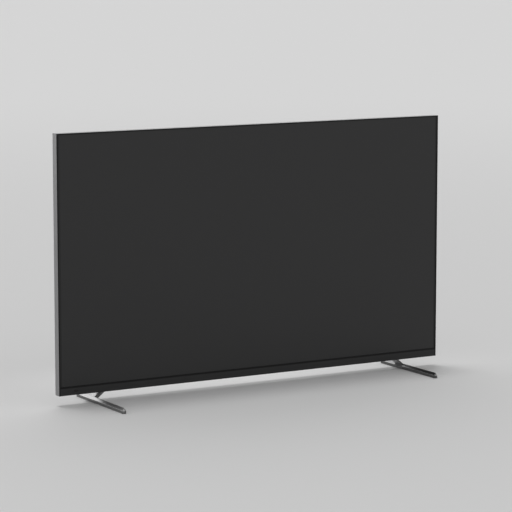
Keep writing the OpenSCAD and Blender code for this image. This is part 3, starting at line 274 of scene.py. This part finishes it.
# %% Moulded grain
grain_group, start, end = new_group("moulded_grain", [("Scale", NUMBER, 1200.0)], ["Height", "Mottle"])
place = object_place(grain_group)
cells = add_node(grain_group, "ShaderNodeTexVoronoi", feature="SMOOTH_F1")
grain_group.links.new(place, cells.inputs["Vector"])
grain_group.links.new(start.outputs["Scale"], cells.inputs["Scale"])
pits = do_math(grain_group, "MULTIPLY", cells.outputs["Distance"], 0.7)
fine_scale = do_math(grain_group, "MULTIPLY", start.outputs["Scale"], 2.3)
height = do_math(grain_group, "ADD", pits, noise(grain_group, place, fine_scale, 3.0))
grain_group.links.new(height, end.inputs["Height"])
grain_group.links.new(noise(grain_group, place, 34.0, 4.0, 0.6), end.inputs["Mottle"])

# %% Brushed lines
brush_group, start, end = new_group(
    "brushed_lines", [("Stretch", VECTOR, (1.0, 1.0, 1.0))], ["Height", "Streak"])
place = object_place(brush_group)
stretched = vector_math(brush_group, "MULTIPLY", place, start.outputs["Stretch"])["Vector"]
streak = noise(brush_group, stretched, 1.0, 5.0, 0.65)
brush_group.links.new(streak, end.inputs["Height"])
brush_group.links.new(map_range(brush_group, streak, 0.3, 0.7, 0.0, 1.0), end.inputs["Streak"])

# %% Worn edges and painted edge highlights
def face_normal(tree):
    return tree.nodes.new("ShaderNodeNewGeometry").outputs["Normal"]


# On most parts this mask lightens rubbed edges; on the feet it carries a painted highlight along the edges.
edge_group, start, end = new_group(
    "wear_and_highlight_edges", [("Radius", NUMBER, 0.0008), ("Amount", NUMBER, 1.0)], ["Mask"])
rounded = add_node(edge_group, "ShaderNodeBevel", samples=4)
edge_group.links.new(start.outputs["Radius"], rounded.inputs["Radius"])
along = vector_math(edge_group, "DOT_PRODUCT", rounded.outputs["Normal"], face_normal(edge_group))["Value"]
turned = map_range(edge_group, along, 0.98, 0.75, 0.0, 1.0)
spots = noise(edge_group, object_place(edge_group), 160.0, 4.0, 0.7)
patchy = map_range(edge_group, spots, 0.38, 0.62, 0.25, 1.0)
wear_and_highlight = do_math(edge_group, "MULTIPLY", turned, patchy)
wear_and_highlight = do_math(edge_group, "MULTIPLY", wear_and_highlight, start.outputs["Amount"], clamp=True)
edge_group.links.new(wear_and_highlight, end.inputs["Mask"])

# %% Settled dust
def split(tree, vector):
    node = tree.nodes.new("ShaderNodeSeparateXYZ")
    tree.links.new(vector, node.inputs[0])
    return node.outputs


dust_group, start, end = new_group("settled_dust", [("Amount", NUMBER, 0.1)], ["Mask"])
upward = map_range(dust_group, split(dust_group, face_normal(dust_group))["Z"], 0.3, 1.0, 0.0, 1.0)
spots = noise(dust_group, object_place(dust_group), 420.0, 5.0, 0.7)
specks = map_range(dust_group, spots, 0.42, 0.7, 0.2, 1.0)
lying = do_math(dust_group, "MULTIPLY", upward, specks)
lying = do_math(dust_group, "MULTIPLY", lying, start.outputs["Amount"], clamp=True)
dust_group.links.new(lying, end.inputs["Mask"])

# %% Slow drift of tone
drift_group, start, end = new_group("tone_drift", [("Scale", NUMBER, 3.0)], ["Drift"])
slow = noise(drift_group, object_place(drift_group), start.outputs["Scale"], 3.0, 0.55)
drift_group.links.new(map_range(drift_group, slow, 0.3, 0.7, 0.0, 1.0), end.inputs["Drift"])

# %% Stripes
stripe_group, start, end = new_group(
    "fine_stripes",
    [("Direction", VECTOR, (1.0, 0.0, 0.0)), ("Pitch", NUMBER, 0.001), ("Share", NUMBER, 0.5)],
    ["Mask"])
place = object_place(stripe_group)
along = vector_math(stripe_group, "DOT_PRODUCT", place, start.outputs["Direction"])["Value"]
steps = do_math(stripe_group, "DIVIDE", along, start.outputs["Pitch"])
part_step = do_math(stripe_group, "FRACT", steps)
stripe = do_math(stripe_group, "LESS_THAN", part_step, start.outputs["Share"])
stripe_group.links.new(stripe, end.inputs["Mask"])

# %% [markdown]
# A finish is a colour, a roughness and the traces of how the part was made.
# Moulded plastic carries a fine spark-eroded grain, sheet metal carries the lines of the rolling mill,
# and both show a lighter edge where hands and cartons have rubbed.
# A few functions wire these groups into a Principled BSDF, and every constant goes straight on its socket.

# %% Wire the shared effects into a material
def use_group(tree, group, **values):
    node = tree.nodes.new("ShaderNodeGroup")
    node.node_tree = group
    for label, value in values.items():
        node.inputs[label].default_value = value
    return node


def shade(colour, factor):
    return tuple(min(1.0, c * factor) for c in colour[:3]) + (1.0,)


def roughen(tree, rough, mask, amount):
    return do_math(tree, "ADD", rough, do_math(tree, "MULTIPLY", mask, amount), clamp=True)


def bump_from(tree, shader, height, distance):
    bump = tree.nodes.new("ShaderNodeBump")
    bump.inputs["Distance"].default_value = distance
    tree.links.new(height, bump.inputs["Height"])
    tree.links.new(bump.outputs["Normal"], shader.inputs["Normal"])


def base_finish(name, colour, roughness, metallic=0.0, specular=0.5, drift=0.12, drift_scale=3.0):
    material, tree, shader = new_material(name)
    shader.inputs["Metallic"].default_value = metallic
    shader.inputs["Specular IOR Level"].default_value = specular
    slow = use_group(tree, drift_group, Scale=drift_scale).outputs["Drift"]
    tone = mix_colour(tree, slow, shade(colour, 1 - drift), shade(colour, 1 + drift))
    rough = map_range(tree, slow, 0.0, 1.0, roughness - 0.03, roughness + 0.03)
    return material, tree, shader, tone, rough


def close_finish(tree, shader, tone, rough, edge=0.0, edge_colour=None, edge_radius=0.0008, dust=0.0):
    if edge:
        wear_and_highlight = use_group(tree, edge_group, Radius=edge_radius, Amount=edge).outputs["Mask"]
        tone = mix_colour(tree, wear_and_highlight, tone, edge_colour)
    if dust:
        lying = use_group(tree, dust_group, Amount=dust).outputs["Mask"]
        tone = mix_colour(tree, lying, tone, grey(0.45))
        rough = roughen(tree, rough, lying, 0.3)
    tree.links.new(tone, shader.inputs["Base Color"])
    tree.links.new(rough, shader.inputs["Roughness"])


print("ready: effects in a material")

# %% Moulded and brushed finishes
def moulded(name, colour, roughness, specular, scale, depth, edge, edge_radius=0.0008, dust=0.1):
    material, tree, shader, tone, rough = base_finish(name, colour, roughness, specular=specular)
    grain = use_group(tree, grain_group, Scale=scale)
    mottle = map_range(tree, grain.outputs["Mottle"], 0.3, 0.7, 0.0, 0.25)
    tone = mix_colour(tree, mottle, tone, shade(colour, 0.8))
    bump_from(tree, shader, grain.outputs["Height"], depth)
    close_finish(tree, shader, tone, rough, edge, shade(colour, 3.0), edge_radius, dust)
    return material


def brushed(name, colour, roughness, stretch, depth, contrast=0.12, edge=0.3, edge_radius=0.0006):
    material, tree, shader, tone, rough = base_finish(name, colour, roughness, metallic=1.0)
    lines = use_group(tree, brush_group, Stretch=stretch)
    streak = lines.outputs["Streak"]
    tone = mix_colour(tree, streak, shade(colour, 1 - contrast), tone)
    rough = roughen(tree, rough, streak, 0.08)
    bump_from(tree, shader, lines.outputs["Height"], depth)
    close_finish(tree, shader, tone, rough, edge, shade(colour, 2.2), edge_radius)
    return material


finishes = {}
print("ready: moulded and brushed finishes")

# %% [markdown]
# The screen is the largest face. It is switched off: a black panel behind a matt anti-glare film.
# The picture area is a little lighter than the black border round it, because the film over it scatters
# the studio light. The border could be a separate strip, but on the real panel it is print under the
# same film, so here it is a mask.

# %% Picture and border
picture_wide = 1.4285
picture_tall = 0.8035
chin_to_picture = 0.0295
border_blur = 0.0003
picture_half = picture_wide / 2
picture_low = lower_z + chin_to_picture
picture_high = picture_low + picture_tall

border_group, start, end = new_group(
    "picture_border", [("Half", NUMBER, 0.7), ("Low", NUMBER, 0.0), ("High", NUMBER, 0.8)], ["Mask"])
place = split(border_group, object_place(border_group))
off_middle = do_math(border_group, "ABSOLUTE", place["X"])
beside = do_math(border_group, "SUBTRACT", off_middle, start.outputs["Half"])
below = do_math(border_group, "SUBTRACT", start.outputs["Low"], place["Z"])
above = do_math(border_group, "SUBTRACT", place["Z"], start.outputs["High"])
outside = do_math(border_group, "MAXIMUM", beside, do_math(border_group, "MAXIMUM", below, above))
mask = map_range(border_group, outside, -border_blur, border_blur, 0.0, 1.0)
border_group.links.new(mask, end.inputs["Mask"])
print("picture:", round(picture_wide, 4), "by", round(picture_tall, 4), "m")

# %% Screen film
film_tone = (0.013, 0.013, 0.0134)
border_tone = grey(0.0025)

material, tree, shader, tone, rough = base_finish(
    "screen_film", film_tone, roughness=0.36, drift=0.06, drift_scale=1.4)
border = use_group(tree, border_group, Half=picture_half, Low=picture_low, High=picture_high)
tone = mix_colour(tree, border.outputs["Mask"], tone, border_tone)
rough = roughen(tree, rough, border.outputs["Mask"], 0.22)
film = use_group(tree, grain_group, Scale=4200.0)
bump_from(tree, shader, film.outputs["Height"], 0.000006)
close_finish(tree, shader, tone, rough)
finishes["screen_glass"] = material
print("finish:", material.name)

# %% [markdown]
# Round the screen lie a thin black bezel, a charcoal chin and a silver frame.
# The bezel and chin are moulded plastic, so they get grain. The frame is extruded metal, brushed along its
# length: grooves that fine would be lost as geometry, so a noise stretched along the strips tints them.
# The remote sensor looks out through a small smoked window in the chin.

# %% Bezel, chin, frame and sensor window
finishes["bezel_black"] = moulded(
    "bezel_satin_black", (0.005, 0.005, 0.0053), roughness=0.38, specular=0.22,
    scale=1500.0, depth=0.00003, edge=0.1)
finishes["chin_charcoal"] = moulded(
    "chin_charcoal", (0.025, 0.025, 0.0255), roughness=0.42, specular=0.3,
    scale=1500.0, depth=0.00003, edge=0.1)
finishes["frame_silver"] = brushed(
    "frame_brushed_silver", (0.315, 0.315, 0.32), roughness=0.34,
    stretch=(60.0, 900.0, 60.0), depth=0.00001)
finishes["smoked_plastic"] = moulded(
    "sensor_smoked", (0.010, 0.007, 0.007), roughness=0.12, specular=0.5,
    scale=600.0, depth=0.000004, edge=0.0)
print("front finishes:", sorted(finishes))

# %% [markdown]
# The feet are cast, polished and plated, so they mirror the floor and the dark set above them.
# The upright sides are darkened with painted shade, the sloping facets are polished, and the narrow shoulder
# between them is lightened with a painted highlight. Faces turned to the middle of the set are darkened with
# painted shade.
# Under the chin, the top of the neck and the corner at its root are darkened with painted shade, and there the
# metal stays dull.
# Each tone could be a material of its own on its own set of faces, but the way a face leans, and where it
# lies, already tells them apart, so one material mixes the tones by masks.
# A mirror this small would look fake if it were perfect: faint polishing lines and a satin haze break it up.

# %% Masks by the lean and place of a face
shoulder_rise = 0.894
neck_rise = 0.777
neck_middle = front_y + 0.0262
neck_half = 0.022
dull_shade_end = front_y + 0.017
dull_shade_blur = 0.003

lean_group, start, end = new_group("face_lean", [], ["Side", "Shoulder", "Inner", "DullShade"])
normal = split(lean_group, face_normal(lean_group))
place = split(lean_group, object_place(lean_group))


def leaning(rise):
    """Masks the faces whose normal rises about as much as this."""
    off = do_math(lean_group, "ABSOLUTE", do_math(lean_group, "SUBTRACT", normal["Z"], rise))
    return map_range(lean_group, off, 0.02, 0.05, 1.0, 0.0)


# These masks pick the faces of the feet that get painted shade and a painted highlight.
upright = do_math(lean_group, "ABSOLUTE", normal["Z"])
outward = do_math(lean_group, "MULTIPLY", normal["X"], place["X"])
inward = map_range(lean_group, outward, -0.15, 0.15, 1.0, 0.0)
not_below = map_range(lean_group, normal["Z"], -0.4, -0.2, 0.0, 1.0)
inner = do_math(lean_group, "MULTIPLY", inward, not_below)
# The top of the neck in front of this line and the corner at its root get painted shade and a dull, non-metal
# surface.
in_front = map_range(
    lean_group, place["Y"], dull_shade_end - dull_shade_blur, dull_shade_end + dull_shade_blur, 1.0, 0.0, smooth=True)
neck_top = do_math(lean_group, "MULTIPLY", leaning(neck_rise), in_front)
off_neck = do_math(lean_group, "ABSOLUTE", do_math(lean_group, "SUBTRACT", place["Y"], neck_middle))
by_neck = map_range(
    lean_group, off_neck, neck_half - dull_shade_blur, neck_half + dull_shade_blur, 1.0, 0.0, smooth=True)
neck_corner = do_math(lean_group, "MULTIPLY", inner, by_neck)
masks = {
    "Side": map_range(lean_group, upright, 0.2, 0.4, 1.0, 0.0),
    "Shoulder": leaning(shoulder_rise),
    "Inner": inner,
    "DullShade": do_math(lean_group, "MAXIMUM", neck_top, neck_corner),
}
for label, mask in masks.items():
    lean_group.links.new(mask, end.inputs[label])
print("neck in Y from", round(neck_middle - neck_half, 4), "to", round(neck_middle + neck_half, 4), "m")

# %% Feet and pads
facet_tone = (0.36, 0.36, 0.365)
streak_tone = grey(0.33)
side_shade_tone = grey(0.2)
shoulder_highlight_tone = grey(0.85)
inner_shade_tone = grey(0.02)
inner_shade_share = 0.45
dull_shade_tone = grey(0.2)

material, tree, shader, tone, rough = base_finish(
    "foot_polished_metal", facet_tone, roughness=0.38, metallic=1.0, specular=0.1)
lean = use_group(tree, lean_group).outputs
polish = use_group(tree, brush_group, Stretch=(900.0, 40.0, 900.0))
tone = mix_colour(tree, polish.outputs["Streak"], streak_tone, tone)
# Painted shade on the upright sides and on the faces turned inwards, and a painted highlight on the shoulder.
tone = mix_colour(tree, lean["Side"], tone, side_shade_tone)
tone = mix_colour(tree, lean["Shoulder"], tone, shoulder_highlight_tone)
tone = mix_colour(tree, do_math(tree, "MULTIPLY", lean["Inner"], inner_shade_share), tone, inner_shade_tone)
# Painted shade on the top of the neck and the corner at its root, which are also dull.
tone = mix_colour(tree, lean["DullShade"], tone, dull_shade_tone)
tree.links.new(map_range(tree, lean["DullShade"], 0.0, 1.0, 1.0, 0.0), shader.inputs["Metallic"])
rough = roughen(tree, rough, lean["Shoulder"], 0.25)
rough = roughen(tree, rough, lean["DullShade"], 0.4)
bump_from(tree, shader, polish.outputs["Height"], 0.000006)
# The lighter edges of the feet are a painted highlight.
close_finish(tree, shader, tone, rough, edge=0.5, edge_colour=grey(0.5))
finishes["foot_metal"] = material
finishes["pad_rubber"] = moulded(
    "pad_rubber", (0.02, 0.02, 0.02), roughness=0.85, specular=0.3, scale=900.0, depth=0.00006, edge=0.1)
print("stand finishes: foot_metal, pad_rubber")

# %% [markdown]
# The back is moulded in two covers of dark plastic with a coarser grain that hides handling marks.
# A plain dark grey would read as cardboard, so tone, grain, rubbed edges and dust on ledges are layered.
# The key, the sockets, the sheets behind the screen and the leads are other plastics with their own grain.

# %% Rear covers, sockets and key
finishes["rear_plastic"] = moulded(
    "rear_grained_plastic", (0.022, 0.022, 0.0232), roughness=0.52, specular=0.4,
    scale=700.0, depth=0.00012, edge=0.2, edge_radius=0.0012, dust=0.2)
finishes["black_plastic"] = moulded(
    "socket_black_plastic", (0.02, 0.02, 0.021), roughness=0.4, specular=0.45,
    scale=1400.0, depth=0.00004, edge=0.15)
finishes["key_plastic"] = moulded(
    "key_soft_plastic", (0.014, 0.014, 0.015), roughness=0.6, specular=0.35,
    scale=1800.0, depth=0.00004, edge=0.25, edge_radius=0.0005)
finishes["nylon"] = moulded(
    "plunger_nylon", (0.62, 0.60, 0.54), roughness=0.45, specular=0.5,
    scale=1200.0, depth=0.00003, edge=0.0)
print("finishes so far:", len(finishes))

# %% Sheets, lenses and leads inside
finishes["optic_white"] = moulded(
    "optic_white_sheet", (0.82, 0.82, 0.83), roughness=0.5, specular=0.4,
    scale=2200.0, depth=0.00003, edge=0.0, dust=0.0)
finishes["lens_clear"] = moulded(
    "lens_clear_plastic", (0.78, 0.80, 0.82), roughness=0.08, specular=0.5,
    scale=800.0, depth=0.000005, edge=0.0)
finishes["cable_black"] = moulded(
    "cable_sleeve", (0.022, 0.022, 0.022), roughness=0.7, specular=0.3,
    scale=2400.0, depth=0.0001, edge=0.0)
finishes["lead_red"] = moulded(
    "lead_red_sleeve", (0.40, 0.03, 0.03), roughness=0.5, specular=0.4,
    scale=2000.0, depth=0.00004, edge=0.0)
print("finishes so far:", len(finishes))

# %% [markdown]
# The chassis, brackets, socket shells, screws and bushes are metal, rolled, drawn, cast or turned.
# A separate texture for each would look much the same at this size, so all of them share the brushed lines,
# stretched along the way in which each part was worked.

# %% Sheet metal, screws and brass
finishes["zinc_steel"] = brushed(
    "zinc_plated_sheet", (0.56, 0.57, 0.58), roughness=0.38,
    stretch=(30.0, 200.0, 500.0), depth=0.00003, contrast=0.2)
finishes["dark_steel"] = brushed(
    "screw_black_zinc", (0.07, 0.07, 0.075), roughness=0.35,
    stretch=(900.0, 200.0, 900.0), depth=0.00001, contrast=0.25, edge=0.6, edge_radius=0.0003)
finishes["shell_metal"] = brushed(
    "socket_tin_plate", (0.66, 0.66, 0.67), roughness=0.28,
    stretch=(200.0, 900.0, 900.0), depth=0.00001, contrast=0.15)
finishes["heat_metal"] = brushed(
    "heat_sink_metal", (0.58, 0.58, 0.60), roughness=0.4,
    stretch=(40.0, 900.0, 900.0), depth=0.00003, contrast=0.2)
finishes["key_metal"] = brushed(
    "corner_cast_metal", (0.38, 0.38, 0.40), roughness=0.5,
    stretch=(300.0, 300.0, 300.0), depth=0.00004, contrast=0.2)
finishes["brass"] = brushed(
    "turned_brass", (0.60, 0.43, 0.17), roughness=0.3,
    stretch=(900.0, 80.0, 900.0), depth=0.00001, contrast=0.18)
print("finishes so far:", len(finishes))

# %% [markdown]
# The circuit boards lie inside, but they are part of the object and show when the covers are taken off.
# A board is a laminate under coloured lacquer, with copper tracks that raise the lacquer slightly.
# Flexes and ribbons are films over rows of fine conductors, so they get stripes.

# %% Boards, flexes and ribbons
def lacquered_board(name, colour, track):
    material, tree, shader, tone, rough = base_finish(name, colour, roughness=0.3)
    tracks = add_node(tree, "ShaderNodeTexVoronoi", distance="MANHATTAN")
    tracks.inputs["Scale"].default_value = 150.0
    tree.links.new(object_place(tree), tracks.inputs["Vector"])
    line = map_range(tree, tracks.outputs["Distance"], 0.42, 0.46, 0.0, 1.0)
    tone = mix_colour(tree, line, tone, track)
    bump_from(tree, shader, line, 0.00003)
    close_finish(tree, shader, tone, rough, edge=0.3, edge_colour=shade(track, 1.5), edge_radius=0.0004)
    return material


def striped_film(name, colour, lines, direction, pitch, share, roughness):
    material, tree, shader, tone, rough = base_finish(name, colour, roughness)
    stripe = use_group(tree, stripe_group, Direction=direction, Pitch=pitch, Share=share).outputs["Mask"]
    tone = mix_colour(tree, stripe, tone, lines)
    bump_from(tree, shader, stripe, 0.00002)
    close_finish(tree, shader, tone, rough)
    return material


finishes["board_green"] = lacquered_board(
    "board_green_lacquer", colour=(0.02, 0.11, 0.045), track=(0.05, 0.20, 0.08, 1.0))
finishes["board_tan"] = lacquered_board(
    "board_tan_laminate", colour=(0.36, 0.24, 0.11), track=(0.46, 0.33, 0.16, 1.0))
finishes["flex_amber"] = striped_film(
    "flex_amber_film", colour=(0.42, 0.20, 0.05), lines=(0.55, 0.34, 0.12, 1.0),
    direction=(1.0, 0.0, 0.0), pitch=0.0008, share=0.5, roughness=0.3)
finishes["ribbon_white"] = striped_film(
    "ribbon_white_film", colour=(0.72, 0.72, 0.72), lines=(0.45, 0.45, 0.46, 1.0),
    direction=(0.7, 0.0, 0.7), pitch=0.001, share=0.35, roughness=0.45)
print("finishes:", len(finishes))

# %% [markdown]
# Every solid names the slot that it takes its finish from, as parts in a workshop carry a finish code.
# Finishes could be given out piece by piece, but a loop over the record can't forget one.

# %% Paint every node
subparts = frame["record"]["subparts"]
for subpart in subparts:
    piece = nodes[subpart["node"]]
    finish = finishes[subpart["material_slot"]]
    if not piece.material_slots:
        piece.data.materials.append(finish)
    for slot in piece.material_slots:
        slot.material = finish
print("painted", len(subparts), "nodes")

# %% [markdown]
# The screws at the back have a domed head with a cross recess, which CAD leaves as a plain cylinder.
# A recess could be cut with a Boolean, but that leaves long thin triangles.
# Here a ring of 24 points is pushed into a cross, bridged to the rim of the head and extruded inwards.
# The places come from the CAD node: its mesh falls into one closed solid for each screw.

# %% Solids of a node
def solids_of(name):
    """Gives the lowest and highest corner of each separate solid in a node."""
    shape = bmesh.new()
    shape.from_mesh(nodes[name].data)
    bmesh.ops.remove_doubles(shape, verts=shape.verts, dist=1e-6)
    boxes = []
    seen = set()
    for vert in shape.verts:
        if vert in seen:
            continue
        found = [vert]
        seen.add(vert)
        for near in found:
            for edge in near.link_edges:
                other = edge.other_vert(near)
                if other not in seen:
                    seen.add(other)
                    found.append(other)
        low = Vector([min(v.co[k] for v in found) for k in range(3)])
        high = Vector([max(v.co[k] for v in found) for k in range(3)])
        boxes.append((low, high))
    shape.free()
    return sorted(boxes, key=lambda b: (round(b[0].x, 4), round(b[0].z, 4)))


print("cover screws:", len(solids_of("cover_screws")))

# %% Rings of points
def cross_point(k, arm, half):
    middle = (arm + half) / 2
    corner = [(arm, 0.0), (arm, half), (middle, half), (half, half), (half, middle), (half, arm)][k % 6]
    turn = Matrix.Rotation(math.radians(90 * (k // 6)), 3, "Z")
    return turn @ Vector((corner[0], corner[1], 0.0))


def edges_at(verts):
    """Gives each edge at these points once, in the same order on every run."""
    return list(dict.fromkeys(e for v in verts for e in v.link_edges))


def ring_edges(ring):
    return [e for e in edges_at(ring) if e.verts[0] in ring and e.verts[1] in ring]


def new_ring(shape, radius):
    ring = bmesh.ops.create_circle(shape, cap_ends=False, segments=24, radius=radius)["verts"]
    ring.sort(key=lambda v: math.atan2(v.co.y, v.co.x) % (2 * math.pi))
    return ring


def extrude_ring(shape, ring):
    """Copies a ring and closes the band between the two, face by face in the ring's own order."""
    fresh = [shape.verts.new(vert.co) for vert in ring]
    for k, vert in enumerate(ring):
        after = (k + 1) % len(ring)
        shape.faces.new((vert, ring[after], fresh[after], fresh[k]))
    return fresh


def grow_ring(shape, ring, radius, z):
    fresh = extrude_ring(shape, ring)
    for vert in fresh:
        flat = Vector((vert.co.x, vert.co.y, 0.0)).normalized() * radius
        vert.co = Vector((flat.x, flat.y, z))
    return fresh


print("ready: rings of points")

# %% Screws with a cross recess
def add_cross_screw(shape, top, head_r, head_h, shank_r, total_h):
    """Adds a screw whose head's top lies at the point top and whose shank runs towards -Y."""
    old = set(shape.verts)
    rim = new_ring(shape, 0.86 * head_r)
    cross = new_ring(shape, 0.5 * head_r)
    for k, vert in enumerate(cross):
        vert.co = cross_point(k, 0.58 * head_r, 0.15 * head_r)
    for vert in rim:
        vert.co.z = -0.10 * head_h
    bmesh.ops.bridge_loops(shape, edges=ring_edges(rim) + ring_edges(cross))
    recess = extrude_ring(shape, cross)
    for vert in recess:
        vert.co = Vector((vert.co.x * 0.8, vert.co.y * 0.8, -0.6 * head_h))
    bmesh.ops.edgeloop_fill(shape, edges=ring_edges(recess))
    ring = rim
    # From the rim of the dome down the side of the head, in under it and along the shank to its tip.
    outline = [(0.96 * head_r, 0.32 * head_h), (head_r, 0.62 * head_h), (head_r, head_h),
               (shank_r, head_h), (shank_r, total_h - 0.3 * shank_r), (0.7 * shank_r, total_h)]
    for radius, depth in outline:
        ring = grow_ring(shape, ring, radius, -depth)
    bmesh.ops.edgeloop_fill(shape, edges=ring_edges(ring))
    fresh = [v for v in shape.verts if v not in old]
    bmesh.ops.rotate(shape, verts=fresh, cent=(0, 0, 0), matrix=Matrix.Rotation(math.radians(-90), 3, "X"))
    bmesh.ops.translate(shape, verts=fresh, vec=top)


def screw_set(name, node, head_h, shank_share):
    shape = bmesh.new()
    boxes = solids_of(node)
    for low, high in boxes:
        head_r = (high.x - low.x) / 2
        top = Vector(((low.x + high.x) / 2, high.y, (low.z + high.z) / 2))
        add_cross_screw(shape, top, head_r, head_h, shank_share * head_r, high.y - low.y)
    bmesh.ops.recalc_face_normals(shape, faces=shape.faces)
    piece = new_object(name, shape)
    piece.data.materials.append(finishes["dark_steel"])
    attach(piece, "cabinet")
    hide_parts(node)
    print(name, len(boxes), "screws,", len(piece.data.polygons), "faces")


screw_set("cover_cross_screws", "cover_screws", head_h=0.0018, shank_share=0.5)
screw_set("stand_cross_screws", "stand_screws", head_h=0.0030, shank_share=0.545)

# %% [markdown]
# The sockets in the side bay are open shells in CAD. A real one has a tongue with gilded contacts inside.
# A tongue and its contacts could be one block with painted stripes, but the contacts stand proud and glint.
# So each is a bar of its own, a cube that is stretched and bevelled, and both faces of a tongue get contacts.

# %% Bars and pieces for the sockets
def add_bar(shape, low, high, bevel):
    made = bmesh.ops.create_cube(shape, size=1.0)["verts"]
    size = Vector(high) - Vector(low)
    bmesh.ops.scale(shape, verts=made, vec=size)
    bmesh.ops.translate(shape, verts=made, vec=(Vector(high) + Vector(low)) / 2)
    bmesh.ops.bevel(shape, geom=edges_at(made), offset=bevel, affect="EDGES",
                    segments=2, profile=0.5, material=-1)


def socket_piece(name, shape, slot):
    bmesh.ops.recalc_face_normals(shape, faces=shape.faces)
    piece = new_object(name, shape)
    piece.data.materials.append(finishes[slot])
    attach(piece, "cabinet")
    print(name, len(piece.data.polygons), "faces")


print("ready: bars for the sockets")

# %% Tongues and contacts
shell_back = 0.0016
tongue_reach = 0.0095
tongue_round = 0.00015
contact_short = 0.0008
contact_t = 0.0002
contact_proud = 0.00005
contact_share = 0.28
contact_round = 0.00003


def tongues_and_contacts(label, node, tongue_share, tongue_t, count):
    tongues = bmesh.new()
    contacts = bmesh.new()
    for low, high in solids_of(node):
        middle_y = (low.y + high.y) / 2
        middle_z = (low.z + high.z) / 2
        half = (high.z - low.z) / 2 * tongue_share
        back = low.x + shell_back
        front = back + tongue_reach
        add_bar(tongues, (back, middle_y - tongue_t / 2, middle_z - half),
                (front, middle_y + tongue_t / 2, middle_z + half), tongue_round)
        step = 2 * half / (count + 1)
        for k in range(count):
            z = middle_z - half + (k + 1) * step
            for side in (-1, 1):
                y = middle_y + side * (tongue_t / 2 + contact_proud)
                add_bar(contacts, (back, y - contact_t / 2, z - contact_share * step),
                        (front - contact_short, y + contact_t / 2, z + contact_share * step), contact_round)
    socket_piece(label + "_tongues", tongues, "black_plastic")
    socket_piece(label + "_contacts", contacts, "brass")


tongues_and_contacts("video", "video_sockets", tongue_share=0.78, tongue_t=0.0013, count=9)
tongues_and_contacts("data", "data_sockets", tongue_share=0.82, tongue_t=0.0018, count=4)

# %% [markdown]
# The network socket has eight sprung wires that lean out of its floor, and the optical socket a small flap.
# The aerial socket is threaded. A true helix would hardly show at this size, so each turn is its own ring:
# a sharp profile is spun once round the socket's axis and the ends of the spin are merged.

# %% Network wires
wire_count = 8
wire_pitch = 0.00102
wire_long = 0.0085
wire_half_t = 0.00018
wire_half_w = 0.00022
wire_round = 0.00005
wire_lean = Matrix.Rotation(math.radians(14), 3, "Z")

network_low, network_high = solids_of("network_socket")[0]
wire_root = Vector((network_low.x + 0.0021, network_low.y + 0.0032, 0.0))
wires = bmesh.new()
for k in range(wire_count):
    z = (network_low.z + network_high.z) / 2 + (k - (wire_count - 1) / 2) * wire_pitch
    before = set(wires.verts)
    low = (0.0, -wire_half_t, z - wire_half_w)
    high = (wire_long, wire_half_t, z + wire_half_w)
    add_bar(wires, low, high, wire_round)
    fresh = [v for v in wires.verts if v not in before]
    bmesh.ops.rotate(wires, verts=fresh, cent=(0, 0, z), matrix=wire_lean)
    bmesh.ops.translate(wires, verts=fresh, vec=wire_root)
socket_piece("network_wires", wires, "brass")

# %% Optical flap
flap_t = 0.0006
flap_less = 0.0012
flap_rim = 0.0011
flap_dent = 0.00035
flap_round = 0.0001

optical_low, optical_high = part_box("optical_socket")
flap_size = optical_high - optical_low - Vector((0.0, flap_less, flap_less))
flap_size.x = flap_t
flap_middle = (optical_low + optical_high) / 2
flap_middle.x = optical_high.x + flap_t / 2
flap = bmesh.new()
made = bmesh.ops.create_cube(flap, size=1.0)["verts"]
bmesh.ops.scale(flap, verts=made, vec=flap_size)
bmesh.ops.translate(flap, verts=made, vec=flap_middle)
face = max(flap.faces, key=lambda f: f.calc_center_median().x)
bmesh.ops.inset_region(flap, faces=[face], thickness=flap_rim, depth=0.0)
dented = min((f for f in flap.faces if f.normal.x > 0.9), key=lambda f: f.calc_area())
bmesh.ops.translate(flap, verts=dented.verts, vec=(-flap_dent, 0, 0))
outer_x = optical_high.x + flap_t
outer_edges = [e for e in flap.edges if all(abs(v.co.x - outer_x) < 1e-5 for v in e.verts)]
bmesh.ops.bevel(flap, geom=outer_edges, offset=flap_round, affect="EDGES",
                segments=2, profile=0.5, material=-1)
socket_piece("optical_flap", flap, "black_plastic")

# %% Aerial thread
thread_r = 0.0047
thread_deep = 0.0002
thread_pitch = 0.0008
thread_start = 0.0006
thread_spare = 0.0010

aerial_low, aerial_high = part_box("aerial_socket")
bay_wall_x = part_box("network_socket")[1].x
axis_y = (aerial_low.y + aerial_high.y) / 2
axis_z = (aerial_low.z + aerial_high.z) / 2
turns = int((aerial_high.x - bay_wall_x - thread_spare) / thread_pitch)
thread = bmesh.new()
for k in range(turns):
    x = bay_wall_x + thread_start + k * thread_pitch
    points = [(x, thread_r - thread_deep), (x + 0.4 * thread_pitch, thread_r + thread_deep),
              (x + 0.8 * thread_pitch, thread_r - thread_deep)]
    profile = [thread.verts.new((px, axis_y + r, axis_z)) for px, r in points]
    edges = [thread.edges.new((profile[j], profile[(j + 1) % 3])) for j in range(3)]
    bmesh.ops.spin(thread, geom=profile + edges, cent=(x, axis_y, axis_z), axis=(1, 0, 0),
                   angle=math.radians(360), steps=32, use_merge=True, use_duplicate=False)
bmesh.ops.remove_doubles(thread, verts=thread.verts, dist=1e-7)
socket_piece("aerial_thread", thread, "brass")
print("aerial thread:", turns, "turns")
